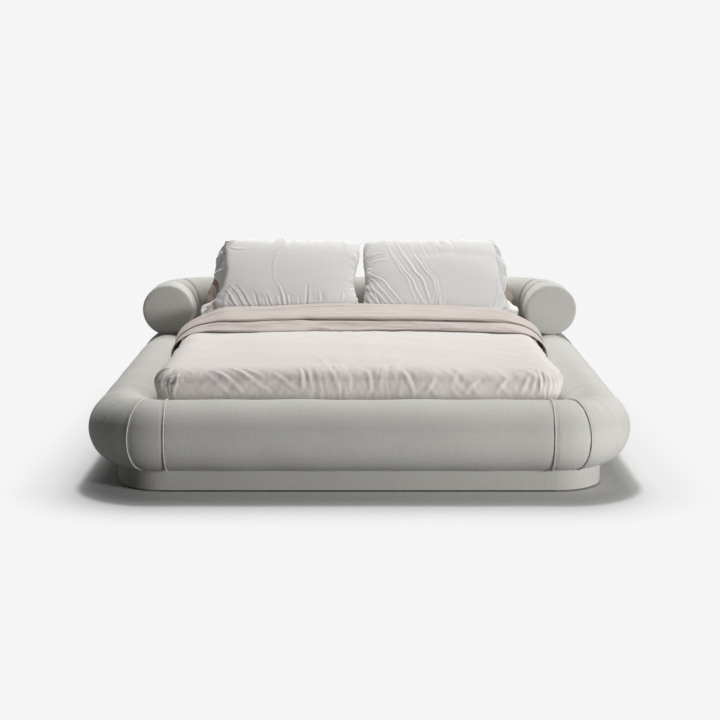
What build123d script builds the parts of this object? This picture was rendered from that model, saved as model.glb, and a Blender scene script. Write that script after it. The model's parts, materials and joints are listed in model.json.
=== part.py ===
from build123d import *
import math
import os

# A low upholstered bed: a thick round rail bent round the mattress like a lying ring,
# a smaller round bolster bent round the head end on top of it, and a set-back plinth below.
# Millimetres, +Z up, the foot end faces -Y, and the origin is on the floor at the middle of the bed.

os.makedirs("parts", exist_ok=True)

# Mattress and the cloth tucked over it
mattress_width = 1800.0
mattress_length = 2000.0
mattress_depth = 250.0
mattress_crown = 20.0
mattress_corner_radius = 60.0
mattress_edge_radius = 35.0
coverlet_thickness = 4.0
rail_gap = 5.0
seat_gap = 0.3

# Round upholstered rail
rail_radius = 155.0
rail_centre_height = 250.0
rail_flat_height = 100.0
bend_radius = 200.0

# Carcase inside the rail
carcase_width = 160.0
carcase_height = 160.0
carcase_board = 18.0
carcase_rib_count = 5
corner_rib_gap = 2.0
shelf_top_height = 175.0
shelf_thickness = 24.0

# Plinth, set back under the rail
plinth_inset = 130.0
plinth_cloth_thickness = 4.0
plinth_board_thickness = 25.0
glide_height = 8.0
glide_width = 15.0
glide_setback = 10.0

# Piped seams of the rail cover
welt_width = 5.0
welt_height = 2.5
welt_chamfer = 1.2
welt_gap = 0.1
welt_setback = 19.0
welt_bend_angle = 23.5

# Bolster round the head end
bolster_radius = 140.0
bolster_sink = 4.0
bolster_arm_length = 189.0
bolster_cap_thickness = 15.0
bolster_cap_rounding = 12.0
bolster_frame_width = 120.0
bolster_frame_board = 15.0

# Slatted base
base_side_gap = 10.0
base_end_gap = 10.0
base_rail_width = 35.0
base_rail_height = 42.0
base_centre_rail_width = 70.0
slat_count = 14
slat_width = 68.0
slat_thickness = 9.0
slat_bow = 4.0
slat_end_gap = 25.0
holder_width = 32.0
holder_height = 17.0
holder_floor = 4.0
holder_wall = 4.0

# Centre beam and its legs
beam_width = 60.0
beam_height = 80.0
beam_lap = 80.0
leg_radius = 25.0
leg_pad_height = 6.0
leg_pitch = 640.0
leg_count = 3

# Corner plates and fasteners
plate_leg = 160.0
plate_width = 60.0
plate_edge = 10.0
plate_thickness = 4.0
plate_chamfer = 6.0
bolt_radius = 4.0
bolt_head_radius = 7.5
bolt_head_height = 5.3
bolt_head_sides = 6
bolt_first = 50.0
bolt_spacing = 80.0
screw_radius = 2.5
screw_head_radius = 5.0
screw_length = 60.0
countersink_angle = 90.0
beam_screw_spacing = 30.0

# Blanket folded back across the bed
blanket_front = 140.0
blanket_pillow_gap = 4.0
blanket_thickness = 16.0
blanket_drop_height = 405.0
blanket_flare = 28.0
blanket_bulge = 68.0
blanket_fold_rise = 14.0
blanket_roll_side = 30.0
blanket_shoulder_radius = 50.0

# Pillows, leaning on the bolster
pillow_lean_angle = 60.0
front_pillow_width = 800.0
front_pillow_height = 465.0
front_pillow_thickness = 168.0
rear_pillow_width = 830.0
rear_pillow_height = 420.0
rear_pillow_thickness = 142.0
pillow_middle_gap = 40.0
pillow_hem_thickness = 14.0

# Places along a pillow's half width, and its thickness and height there
pillow_station_shares = [0.0, 0.45, 0.8, 1.0]
pillow_thickness_shares = [1.0, 0.9, 0.52, 0.0]
pillow_height_shares = [0.94, 0.945, 0.97, 1.0]

# Places of the blanket's folds, as shares of its length from the front edge
fold_step_share = 0.48
fold_crest_share = 0.86
fold_back_share = 0.55

# Places of the bolster's bolts along the head rail, as shares of half a carcase bay
bolster_bolt_shares = [-3, -1, 1, 3]

quarter_turn = 90.0
cut_overrun = 20.0

# Places worked out from the sizes above
rail_x = mattress_width / 2 + rail_gap + rail_radius
rail_y = mattress_length / 2 + rail_gap + rail_radius
bend_x = rail_x - bend_radius
bend_y = rail_y - bend_radius
rail_top = rail_centre_height + rail_radius
shelf_underside = shelf_top_height - shelf_thickness
carcase_top = shelf_top_height + carcase_height
plinth_face = rail_radius - plinth_inset
plinth_board_face = plinth_face - plinth_cloth_thickness
plinth_board_back = plinth_board_face - plinth_board_thickness
seat_height = rail_top - bolster_sink
bolster_centre_height = seat_height + bolster_radius - bolster_sink
bolster_front_y = bend_y - bolster_arm_length
base_half_width = mattress_width / 2 - base_side_gap
base_half_length = mattress_length / 2 - base_end_gap
base_rail_base = shelf_top_height + seat_gap
base_rail_top = base_rail_base + base_rail_height
deck_height = base_rail_top + holder_height
mattress_base = deck_height + seat_gap
shoulder_height = mattress_base + mattress_depth
bed_top = shoulder_height + mattress_crown

sides = {"left": (-1, 0), "right": (1, 0), "foot": (0, -1), "head": (0, 1)}
corners = {"foot_left": (-1, -1), "foot_right": (1, -1), "head_left": (-1, 1), "head_right": (1, 1)}


def save(piece, name):
    """Label a finished piece and write its STEP file."""
    piece.part.label = name
    export_step(piece.part, f"parts/{name}.step")


def run_length(side):
    """Length of the straight rail between the bends on one side."""
    return 2 * (bend_y if sides[side][0] else bend_x)


def run_plane(side):
    """Plane across the middle of a straight rail: X points out of the bed, Y points up."""
    x, y = sides[side]
    return Plane(origin=(x * rail_x, y * rail_y, 0), x_dir=(x, y, 0), z_dir=(y, -x, 0))


def bend_plane(corner, turn=0):
    """Upright plane through a bend's centre: X points out, turned from the side rail to the end rail."""
    x, y = corners[corner]
    out_x = x * math.cos(math.radians(turn))
    out_y = y * math.sin(math.radians(turn))
    return Plane(origin=(x * bend_x, y * bend_y, 0), x_dir=(out_x, out_y, 0), z_dir=(out_y, -out_x, 0))


def bend_axis(corner):
    """Vertical axis of a bend, so that a positive turn goes from the side rail to the end rail."""
    x, y = corners[corner]
    return Axis((x * bend_x, y * bend_y, 0), (0, 0, x * y))


def box_section(offset_from, offset_to, height_from, height_to, mode=Mode.ADD):
    """Rectangle between two offsets from the rail's centre line and two heights."""
    with Locations((offset_from, height_from)):
        Rectangle(
            offset_to - offset_from,
            height_to - height_from,
            align=(Align.MIN, Align.MIN),
            mode=mode,
        )


def straight_run(section, side):
    """Section drawn along the whole straight rail of one side."""
    with BuildPart() as run:
        with BuildSketch(run_plane(side)):
            add(section)
        extrude(amount=run_length(side) / 2, both=True)
    return run


def bend_run(section, corner):
    """Section turned through a quarter circle round one corner of the bed."""
    with BuildPart() as run:
        with BuildSketch(bend_plane(corner)):
            with Locations((bend_radius, 0)):
                add(section)
        revolve(axis=bend_axis(corner), revolution_arc=quarter_turn)
    return run


def cut_seat(piece):
    """Flatten the top of a rail piece where the bolster rests on it."""
    with BuildSketch(Plane.XY.offset(seat_height)) as above_seat:
        with Locations((0, bolster_front_y)):
            Rectangle(
                2 * (rail_x + rail_radius + cut_overrun),
                rail_y + rail_radius + cut_overrun - bolster_front_y,
                align=(Align.CENTER, Align.MIN),
            )
    with piece:
        extrude(above_seat.sketch, amount=cut_overrun, mode=Mode.SUBTRACT)


def drill(piece, places, radius, low, high):
    """Round holes through a piece at (x, y) places, between two heights."""
    with BuildSketch(Plane.XY.offset(low)) as holes:
        with Locations(*places):
            Circle(radius)
    with piece:
        extrude(holes.sketch, amount=high - low, mode=Mode.SUBTRACT)


# Sections across the rail, drawn as offset from its centre line and height above the floor

with BuildSketch() as cover_section:
    with Locations((0, rail_centre_height)):
        Circle(rail_radius)
    box_section(-rail_radius, rail_radius, 0, rail_flat_height, Mode.SUBTRACT)
    box_section(-rail_radius, plinth_board_face, 0, shelf_top_height, Mode.SUBTRACT)
    box_section(0, carcase_width / 2, shelf_underside, shelf_top_height, Mode.SUBTRACT)
    box_section(-carcase_width / 2, carcase_width / 2, shelf_top_height, carcase_top, Mode.SUBTRACT)

with BuildSketch() as carcase_section:
    box_section(-carcase_width / 2, carcase_width / 2, shelf_top_height, carcase_top)
    box_section(
        -carcase_width / 2 + carcase_board,
        carcase_width / 2 - carcase_board,
        shelf_top_height,
        carcase_top - carcase_board,
        Mode.SUBTRACT,
    )

with BuildSketch() as rib_section:
    box_section(-carcase_width / 2, carcase_width / 2, shelf_top_height, carcase_top)

with BuildSketch() as shelf_section:
    box_section(-bend_radius, carcase_width / 2, shelf_underside, shelf_top_height)

with BuildSketch() as corner_carcase_section:
    box_section(-carcase_width / 2, carcase_width / 2, shelf_underside, shelf_top_height)
    box_section(-carcase_width / 2, carcase_width / 2, carcase_top - carcase_board, carcase_top)

with BuildSketch() as corner_rib_section:
    box_section(
        -carcase_width / 2 + corner_rib_gap,
        carcase_width / 2 - corner_rib_gap,
        shelf_top_height,
        carcase_top - carcase_board,
    )

with BuildSketch() as welt_section:
    welt_reach = rail_radius + welt_height
    with Locations((0, rail_centre_height)):
        Circle(welt_reach)
        Circle(rail_radius + welt_gap, mode=Mode.SUBTRACT)
    box_section(-welt_reach, welt_reach, 0, rail_flat_height, Mode.SUBTRACT)
    box_section(-welt_reach, plinth_board_face, 0, shelf_top_height, Mode.SUBTRACT)

with BuildSketch() as plinth_section:
    box_section(plinth_board_back, plinth_board_face, glide_height, shelf_underside)

with BuildSketch() as glide_section:
    glide_face = plinth_face - glide_setback
    box_section(glide_face - glide_width, glide_face, 0, glide_height)

with BuildSketch() as bolster_section:
    with Locations((0, bolster_centre_height)):
        Circle(bolster_radius)
    box_section(-bolster_radius, bolster_radius, 0, seat_height, Mode.SUBTRACT)

with BuildSketch() as bolster_frame_outline:
    with Locations((0, bolster_centre_height)):
        Rectangle(bolster_frame_width, bolster_frame_width)

with BuildSketch() as bolster_cover_section:
    add(bolster_section.sketch)
    add(bolster_frame_outline.sketch, mode=Mode.SUBTRACT)

with BuildSketch() as bolster_frame_section:
    with Locations((0, bolster_centre_height)):
        Rectangle(bolster_frame_width, bolster_frame_width)
        Rectangle(
            bolster_frame_width - 2 * bolster_frame_board,
            bolster_frame_width - 2 * bolster_frame_board,
            mode=Mode.SUBTRACT,
        )

# Places of the fasteners

rib_half_bays = {side: run_length(side) / (carcase_rib_count - 1) / 2 for side in sides}


def along_run(side, distance, offset):
    """Place on a side, measured along its rail from the middle and out from its centre line."""
    x, y = sides[side]
    return (x * (rail_x + offset) + abs(y) * distance, y * (rail_y + offset) + abs(x) * distance)


def screw_places(side):
    """One screw in the middle of each bay of the carcase, over the plinth board."""
    half_bay = rib_half_bays[side]
    over_board = (plinth_board_face + plinth_board_back) / 2
    bays = range(2 - carcase_rib_count, carcase_rib_count - 1, 2)
    return [along_run(side, bay * half_bay, over_board) for bay in bays]


def plate_bolt_places(corner):
    """Bolts through the two legs of one corner plate."""
    x, y = corners[corner]
    middle = plate_edge + plate_width / 2
    backs = [-bolt_first, -bolt_first - bolt_spacing]
    on_side = [(x * (bend_x + middle), y * (bend_y + back)) for back in backs]
    on_end = [(x * (bend_x + back), y * (bend_y + middle)) for back in backs]
    return on_side + on_end


plate_bolt_spots = [place for corner in corners for place in plate_bolt_places(corner)]
head_half_bay = rib_half_bays["head"]
bolster_bolt_spots = [(share * head_half_bay, rail_y) for share in bolster_bolt_shares]
bolster_bolt_spots += [(x * rail_x, bend_y - bolster_arm_length / 2) for x in (-1, 1)]
screw_spots = [place for side in sides for place in screw_places(side)]
screw_spots += [
    (x * beam_screw_spacing / 2, y * (bend_y + beam_lap / 2)) for x in (-1, 1) for y in (-1, 1)
]

# Straight runs of the plinth, shelf, carcase and cover

for side in sides:
    plinth_board = straight_run(plinth_section.sketch, side)
    drill(plinth_board, screw_places(side), screw_radius, shelf_top_height - screw_length, shelf_underside)
    save(plinth_board, f"plinth_board_{side}")

    save(straight_run(glide_section.sketch, side), f"glide_strip_{side}")

    shelf = straight_run(shelf_section.sketch, side)
    drill(shelf, plate_bolt_spots, bolt_radius, shelf_underside, shelf_top_height)
    with shelf:
        with Locations(*[(x, y, shelf_top_height) for x, y in screw_spots]):
            CounterSinkHole(
                screw_radius,
                screw_head_radius,
                depth=shelf_thickness,
                counter_sink_angle=countersink_angle,
            )
    save(shelf, f"shelf_{side}")

    with BuildPart() as carcase:
        with BuildSketch(run_plane(side)):
            add(carcase_section.sketch)
        extrude(amount=run_length(side) / 2, both=True)
        rib_span = run_length(side) - carcase_board
        for rib in range(carcase_rib_count):
            rib_place = rib_span * (rib / (carcase_rib_count - 1)) - rib_span / 2
            with BuildSketch(run_plane(side).offset(rib_place)):
                add(rib_section.sketch)
            extrude(amount=carcase_board / 2, both=True)
    drill(carcase, bolster_bolt_spots, bolt_radius, carcase_top - carcase_board, carcase_top)
    save(carcase, f"rail_carcase_{side}")

    cover = straight_run(cover_section.sketch, side)
    if side != "foot":
        cut_seat(cover)
    drill(cover, bolster_bolt_spots, bolt_radius, carcase_top, seat_height + cut_overrun)
    save(cover, f"rail_cover_{side}")

# Bends of the plinth, carcase and cover

for corner in corners:
    save(bend_run(plinth_section.sketch, corner), f"plinth_corner_{corner}")

    corner_cover = bend_run(cover_section.sketch, corner)
    if corner.startswith("head"):
        cut_seat(corner_cover)
    save(corner_cover, f"corner_cover_{corner}")

with BuildPart() as corner_carcases:
    for corner in corners:
        with BuildSketch(bend_plane(corner)):
            with Locations((bend_radius, 0)):
                add(corner_carcase_section.sketch)
        revolve(axis=bend_axis(corner), revolution_arc=quarter_turn)
        x, y = corners[corner]
        for turn, inward in ((0, (0, y, 0)), (quarter_turn, (x, 0, 0))):
            with BuildSketch(bend_plane(corner, turn)):
                with Locations((bend_radius, 0)):
                    add(corner_rib_section.sketch)
            extrude(amount=carcase_board, dir=inward)
        with BuildSketch(bend_plane(corner, quarter_turn / 2)):
            with Locations((bend_radius, 0)):
                add(corner_rib_section.sketch)
        extrude(amount=carcase_board / 2, both=True)
save(corner_carcases, "corner_carcases")

with BuildPart() as plinth_cloth:
    with BuildSketch(Plane.XY.offset(glide_height)):
        RectangleRounded(
            2 * (rail_x + plinth_face),
            2 * (rail_y + plinth_face),
            bend_radius + plinth_face,
        )
        RectangleRounded(
            2 * (rail_x + plinth_board_face),
            2 * (rail_y + plinth_board_face),
            bend_radius + plinth_board_face,
            mode=Mode.SUBTRACT,
        )
    extrude(amount=rail_flat_height - glide_height)
save(plinth_cloth, "plinth_cloth")

# Piped seams: raised bands round the rail, one before each bend and one a quarter of the way round it

with BuildPart() as seam_welts:
    for side in ("foot", "head"):
        for end in (-1, 1):
            with BuildSketch(run_plane(side).offset(end * (bend_x - welt_setback))):
                add(welt_section.sketch)
            extrude(amount=welt_width / 2, both=True)
    for corner in corners:
        with BuildSketch(bend_plane(corner, quarter_turn - welt_bend_angle)):
            with Locations((bend_radius, 0)):
                add(welt_section.sketch)
        extrude(amount=welt_width / 2, both=True)
    rims = seam_welts.edges().filter_by(GeomType.CIRCLE).group_by(lambda edge: round(edge.radius, 1))
    chamfer(rims[-1], welt_chamfer)
cut_seat(seam_welts)
save(seam_welts, "seam_welts")

# Steel corner plates under the shelves, and the fasteners

plate_reach = plate_edge + plate_width
plate_span = plate_leg + plate_reach

with BuildPart() as corner_plates:
    with BuildSketch(Plane.XY.offset(shelf_underside - plate_thickness)):
        for x, y in corners.values():
            across = (plate_reach - plate_leg) / 2
            along = (plate_edge + plate_reach) / 2
            with Locations((x * (bend_x + across), y * (bend_y + along))):
                Rectangle(plate_span, plate_width)
            with Locations((x * (bend_x + along), y * (bend_y + across))):
                Rectangle(plate_width, plate_span)
    extrude(amount=plate_thickness)
    chamfer(corner_plates.edges().filter_by(Axis.Z), plate_chamfer)
drill(corner_plates, plate_bolt_spots, bolt_radius, shelf_underside - plate_thickness, shelf_underside)
save(corner_plates, "corner_plates")

with BuildPart() as plate_bolts:
    with BuildSketch(Plane.XY.offset(shelf_underside - plate_thickness - bolt_head_height)):
        with Locations(*plate_bolt_spots):
            RegularPolygon(bolt_head_radius, bolt_head_sides)
    extrude(amount=bolt_head_height)
    with BuildSketch(Plane.XY.offset(shelf_underside - plate_thickness)):
        with Locations(*plate_bolt_spots):
            Circle(bolt_radius)
    extrude(amount=plate_thickness + shelf_thickness)
save(plate_bolts, "plate_bolts")

screw_head_depth = (screw_head_radius - screw_radius) / math.tan(math.radians(countersink_angle / 2))

with BuildPart() as shelf_screws:
    with Locations(*[(x, y, shelf_top_height) for x, y in screw_spots]):
        Cylinder(screw_radius, screw_length, align=(Align.CENTER, Align.CENTER, Align.MAX))
        Cone(
            screw_radius,
            screw_head_radius,
            screw_head_depth,
            align=(Align.CENTER, Align.CENTER, Align.MAX),
        )
save(shelf_screws, "shelf_screws")

# Centre beam, lapped under the end shelves, and its legs

beam_base = shelf_top_height - beam_height

with BuildPart() as centre_beam:
    with BuildSketch(Plane.YZ):
        with Locations((0, beam_base)):
            Rectangle(2 * bend_y, beam_height, align=(Align.CENTER, Align.MIN))
            Rectangle(
                2 * (bend_y + beam_lap),
                shelf_underside - beam_base,
                align=(Align.CENTER, Align.MIN),
            )
    extrude(amount=beam_width / 2, both=True)
drill(centre_beam, screw_spots, screw_radius, shelf_top_height - screw_length, shelf_underside)
save(centre_beam, "centre_beam")

with BuildPart() as centre_legs:
    with BuildSketch(Plane.XY.offset(leg_pad_height)):
        with GridLocations(leg_pitch, leg_pitch, 1, leg_count):
            Circle(leg_radius)
    extrude(amount=beam_base - leg_pad_height)
save(centre_legs, "centre_legs")

with BuildPart() as leg_pads:
    with BuildSketch():
        with GridLocations(leg_pitch, leg_pitch, 1, leg_count):
            Circle(leg_radius)
    extrude(amount=leg_pad_height)
save(leg_pads, "leg_pads")

# Bolster: a box frame bent in a U, its padded cover in three lengths, and the round end caps

arm_run = bolster_arm_length - bolster_cap_thickness
frame_floor = bolster_centre_height - bolster_frame_width / 2

with BuildPart() as bolster_frame:
    with BuildSketch(run_plane("head")):
        add(bolster_frame_section.sketch)
    extrude(amount=run_length("head") / 2, both=True)
    for corner in ("head_left", "head_right"):
        with BuildSketch(bend_plane(corner)) as bolster_bend:
            with Locations((bend_radius, 0)):
                add(bolster_frame_section.sketch)
        revolve(axis=bend_axis(corner), revolution_arc=quarter_turn)
        extrude(bolster_bend.sketch, amount=arm_run, dir=(0, -1, 0))
drill(bolster_frame, bolster_bolt_spots, bolt_radius, frame_floor, frame_floor + bolster_frame_board)
save(bolster_frame, "bolster_frame")

bolster_back_cover = straight_run(bolster_cover_section.sketch, "head")
drill(bolster_back_cover, bolster_bolt_spots, bolt_radius, seat_height, frame_floor)
save(bolster_back_cover, "bolster_back_cover")

for hand in ("left", "right"):
    corner = f"head_{hand}"
    with BuildPart() as arm_cover:
        with BuildSketch(bend_plane(corner)) as arm_start:
            with Locations((bend_radius, 0)):
                add(bolster_cover_section.sketch)
        revolve(axis=bend_axis(corner), revolution_arc=quarter_turn)
        extrude(arm_start.sketch, amount=arm_run, dir=(0, -1, 0))
    drill(arm_cover, bolster_bolt_spots, bolt_radius, seat_height, frame_floor)
    save(arm_cover, f"bolster_arm_cover_{hand}")

with BuildPart() as bolster_end_caps:
    for x in (-1, 1):
        cap_plane = Plane(origin=(x * rail_x, bolster_front_y, 0), x_dir=(1, 0, 0), z_dir=(0, -1, 0))
        with BuildSketch(cap_plane):
            add(bolster_section.sketch)
        extrude(amount=-bolster_cap_thickness)
    fillet(bolster_end_caps.faces().group_by(Axis.Y)[0].edges(), bolster_cap_rounding)
save(bolster_end_caps, "bolster_end_caps")

nut_top = frame_floor + bolster_frame_board + bolt_head_height

with BuildPart() as bolster_bolts:
    with BuildSketch(Plane.XY.offset(carcase_top - carcase_board - bolt_head_height)):
        with Locations(*bolster_bolt_spots):
            RegularPolygon(bolt_head_radius, bolt_head_sides)
    extrude(amount=bolt_head_height)
    with BuildSketch(Plane.XY.offset(carcase_top - carcase_board)):
        with Locations(*bolster_bolt_spots):
            Circle(bolt_radius)
    extrude(amount=nut_top - carcase_top + carcase_board)
    with BuildSketch(Plane.XY.offset(nut_top - bolt_head_height)):
        with Locations(*bolster_bolt_spots):
            RegularPolygon(bolt_head_radius, bolt_head_sides)
    extrude(amount=bolt_head_height)
save(bolster_bolts, "bolster_bolts")

# Slatted base: five rails, two banks of bowed slats and the holders that grip their ends


def base_rail(width, length, place):
    """One rail of the slatted base, lying on the shelves and the centre beam."""
    with BuildPart() as rail:
        with BuildSketch(Plane.XY.offset(base_rail_base)):
            with Locations(place):
                Rectangle(width, length)
        extrude(amount=base_rail_height)
    return rail


inner_length = 2 * (base_half_length - base_rail_width)
inner_width = 2 * (base_half_width - base_rail_width)
side_rail_x = base_half_width - base_rail_width / 2
end_rail_y = base_half_length - base_rail_width / 2
save(base_rail(base_rail_width, 2 * base_half_length, (-side_rail_x, 0)), "base_rail_left")
save(base_rail(base_rail_width, 2 * base_half_length, (side_rail_x, 0)), "base_rail_right")
save(base_rail(base_centre_rail_width, inner_length, (0, 0)), "base_rail_centre")
save(base_rail(inner_width, base_rail_width, (0, -end_rail_y)), "base_rail_foot")
save(base_rail(inner_width, base_rail_width, (0, end_rail_y)), "base_rail_head")

slat_pitch = (inner_length - 2 * slat_end_gap - slat_width) / (slat_count - 1)
slat_inner_x = base_centre_rail_width / 2 - holder_width + holder_wall
slat_outer_x = base_half_width - holder_wall
slat_middle_x = (slat_inner_x + slat_outer_x) / 2
slat_seat = base_rail_top + holder_floor

with BuildPart() as one_slat:
    with BuildSketch(Plane.XZ):
        with BuildLine():
            underside = ThreePointArc(
                (slat_inner_x, slat_seat),
                (slat_middle_x, slat_seat + slat_bow),
                (slat_outer_x, slat_seat),
            )
            topside = ThreePointArc(
                (slat_inner_x, slat_seat + slat_thickness),
                (slat_middle_x, slat_seat + slat_thickness + slat_bow),
                (slat_outer_x, slat_seat + slat_thickness),
            )
            Line(underside @ 0, topside @ 0)
            Line(underside @ 1, topside @ 1)
        make_face()
    extrude(amount=slat_width / 2, both=True)

with BuildPart() as slats:
    with GridLocations(slat_pitch, slat_pitch, 1, slat_count):
        add(one_slat.part)
    mirror(about=Plane.YZ)
save(slats, "slats")

with BuildPart() as slat_holders:
    holder_places = [base_half_width - holder_width / 2, base_centre_rail_width / 2 - holder_width / 2]
    with BuildSketch(Plane.XY.offset(base_rail_top)):
        for holder_x in holder_places:
            for x in (-1, 1):
                with Locations((x * holder_x, 0)):
                    with GridLocations(slat_pitch, slat_pitch, 1, slat_count):
                        Rectangle(holder_width, slat_width + 2 * holder_wall)
    extrude(amount=holder_height)
    add(slats.part, mode=Mode.SUBTRACT)
save(slat_holders, "slat_holders")

# Mattress and the coverlet tucked over it


def crowned_block(inset):
    """The made-up mattress, or the same form drawn in by the thickness of its cloth."""
    half_width = mattress_width / 2 - inset
    shoulder = shoulder_height - inset
    with BuildPart() as block:
        with BuildSketch(Plane.XZ):
            with BuildLine():
                Polyline(
                    (-half_width, shoulder),
                    (-half_width, mattress_base),
                    (half_width, mattress_base),
                    (half_width, shoulder),
                )
                ThreePointArc(
                    (half_width, shoulder),
                    (0, shoulder + mattress_crown),
                    (-half_width, shoulder),
                )
            make_face()
        extrude(amount=mattress_length / 2 - inset, both=True)
        fillet(block.edges().filter_by(Axis.Z), mattress_corner_radius - inset)
        top = block.faces().sort_by(Axis.Z)[-1]
        fillet(top.edges(), mattress_edge_radius - inset)
    return block


mattress = crowned_block(coverlet_thickness)
save(mattress, "mattress")

coverlet = crowned_block(0)
with coverlet:
    add(mattress.part, mode=Mode.SUBTRACT)
save(coverlet, "coverlet")

# Pillows: crowned forms with a flat hem, standing on the mattress and leaning on the bolster

lean = math.radians(pillow_lean_angle)
lean_start_y = rail_y - (bolster_radius + seat_gap) * math.sin(lean)
lean_start_z = bolster_centre_height + (bolster_radius + seat_gap) * math.cos(lean)
pillow_foot_height = bed_top + seat_gap


def pillow_centre(height, depth):
    """Middle of a pillow of this height, whose mid-plane lies at this depth from the bolster."""
    z = pillow_foot_height + height / 2 * math.sin(lean)
    y = lean_start_y + (z - lean_start_z) / math.tan(lean) - depth / math.sin(lean)
    return y, z


def pillow(hand, width, height, thickness, depth):
    """One pillow, lofted along its width through lens-shaped sections."""
    y, z = pillow_centre(height, depth)
    stations = list(zip(pillow_station_shares, pillow_thickness_shares, pillow_height_shares))
    ends = [(-share, thick, high) for share, thick, high in reversed(stations[1:])] + stations
    middle_x = hand * (pillow_middle_gap + width) / 2
    with BuildPart() as cushion:
        for share, thick, high in ends:
            place = Plane(
                origin=(middle_x + share * width / 2, y, z),
                x_dir=(0, math.cos(lean), math.sin(lean)),
                z_dir=(1, 0, 0),
            )
            half_height = height * high / 2
            bulge = (pillow_hem_thickness + (thickness - pillow_hem_thickness) * thick) / 2
            with BuildSketch(place):
                with BuildLine():
                    ThreePointArc((-half_height, 0), (0, bulge), (half_height, 0))
                    ThreePointArc((half_height, 0), (0, -bulge), (-half_height, 0))
                make_face()
        loft()
    return cushion


rear_depth = rear_pillow_thickness / 2
front_depth = rear_pillow_thickness + seat_gap + front_pillow_thickness / 2
for name, hand in (("left", -1), ("right", 1)):
    rear_pillow = pillow(hand, rear_pillow_width, rear_pillow_height, rear_pillow_thickness, rear_depth)
    save(rear_pillow, f"rear_pillow_{name}")
    front_pillow = pillow(
        hand,
        front_pillow_width,
        front_pillow_height,
        front_pillow_thickness,
        front_depth,
    )
    save(front_pillow, f"front_pillow_{name}")

# Blanket: one layer over the mattress, with its folds heaped against the pillows

front_centre_y = pillow_centre(front_pillow_height, front_depth)[0]
blanket_back = front_centre_y - front_pillow_height / 2 * math.cos(lean) - blanket_pillow_gap
blanket_length = blanket_back - blanket_front
blanket_middle = (blanket_front + blanket_back) / 2


def saddle_section(thickness, flare, rounding):
    """Section across the bed, over the mattress and down both its sides."""
    half_width = mattress_width / 2 + seat_gap + thickness
    shoulder = shoulder_height + seat_gap + thickness
    with BuildSketch(Plane.XZ.offset(-blanket_middle)) as section:
        with BuildLine():
            Polyline(
                (-half_width, shoulder),
                (-half_width - flare, blanket_drop_height),
                (half_width + flare, blanket_drop_height),
                (half_width, shoulder),
            )
            ThreePointArc(
                (half_width, shoulder),
                (0, shoulder + mattress_crown),
                (-half_width, shoulder),
            )
        make_face()
        fillet(section.vertices().group_by(Axis.Y)[-1], rounding)
    return section.sketch


fold_base = shoulder_height + blanket_thickness / 2
first_layer = bed_top + seat_gap + blanket_thickness
step_y = blanket_front + fold_step_share * blanket_length
crest_y = blanket_front + fold_crest_share * blanket_length

with BuildPart() as blanket:
    extrude(
        saddle_section(blanket_thickness, blanket_flare, blanket_shoulder_radius),
        amount=blanket_length / 2,
        both=True,
    )
    with BuildSketch(Plane.YZ):
        with BuildLine():
            Polyline(
                (step_y, first_layer),
                (step_y, fold_base),
                (blanket_back, fold_base),
                (blanket_back, first_layer + blanket_bulge * fold_back_share),
            )
            ThreePointArc(
                (blanket_back, first_layer + blanket_bulge * fold_back_share),
                (crest_y, first_layer + blanket_bulge),
                (step_y + blanket_fold_rise, first_layer + blanket_fold_rise),
            )
            RadiusArc(
                (step_y + blanket_fold_rise, first_layer + blanket_fold_rise),
                (step_y, first_layer),
                -blanket_fold_rise,
            )
        make_face()
    extrude(amount=mattress_width / 2 - blanket_roll_side, both=True)
    extrude(
        saddle_section(0, 0, mattress_edge_radius + seat_gap),
        amount=blanket_length / 2,
        both=True,
        mode=Mode.SUBTRACT,
    )
save(blanket, "blanket")
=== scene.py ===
"""Looks of a low upholstered bed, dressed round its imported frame.

The rail and the bolster get sewn covers with piped seams, the bedding is modelled as cloth, and the
timber, steel and plastic pieces keep their own meshes and get their finishes.
"""

import json
import logging
import math
from dataclasses import dataclass, field
from enum import Enum
from typing import Optional, Sequence

import bmesh
import bpy
import numpy as np
from bpy.types import ID, Material, Mesh, Node, NodeSocket, NodeTree, Object
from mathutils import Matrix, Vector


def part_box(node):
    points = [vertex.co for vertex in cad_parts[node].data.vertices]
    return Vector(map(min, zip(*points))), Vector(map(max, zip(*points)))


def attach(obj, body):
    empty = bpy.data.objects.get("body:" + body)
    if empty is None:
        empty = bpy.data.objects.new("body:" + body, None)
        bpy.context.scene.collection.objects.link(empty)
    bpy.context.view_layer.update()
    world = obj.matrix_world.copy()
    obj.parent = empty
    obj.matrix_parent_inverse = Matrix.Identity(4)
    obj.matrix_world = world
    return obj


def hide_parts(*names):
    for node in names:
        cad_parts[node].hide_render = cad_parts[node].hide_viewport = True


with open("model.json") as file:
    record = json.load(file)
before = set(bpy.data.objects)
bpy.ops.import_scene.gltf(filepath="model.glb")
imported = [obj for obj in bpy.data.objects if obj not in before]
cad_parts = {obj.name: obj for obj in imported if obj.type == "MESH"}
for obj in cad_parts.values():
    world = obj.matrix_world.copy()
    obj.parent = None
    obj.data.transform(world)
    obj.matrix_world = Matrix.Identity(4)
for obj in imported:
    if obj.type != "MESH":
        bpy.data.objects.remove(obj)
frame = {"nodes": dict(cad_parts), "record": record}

log = logging.getLogger("bed")
Array = np.ndarray

MILLIMETRE = 0.001


class Side(Enum):
    """The four straight runs of the rail, each with its outward direction."""

    LEFT = (-1, 0)
    RIGHT = (1, 0)
    FOOT = (0, -1)
    HEAD = (0, 1)


class Corner(Enum):
    """The four bends of the rail, each with the signs of its place."""

    FOOT_LEFT = (-1, -1)
    FOOT_RIGHT = (1, -1)
    HEAD_LEFT = (-1, 1)
    HEAD_RIGHT = (1, 1)


# Shared tools


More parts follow.
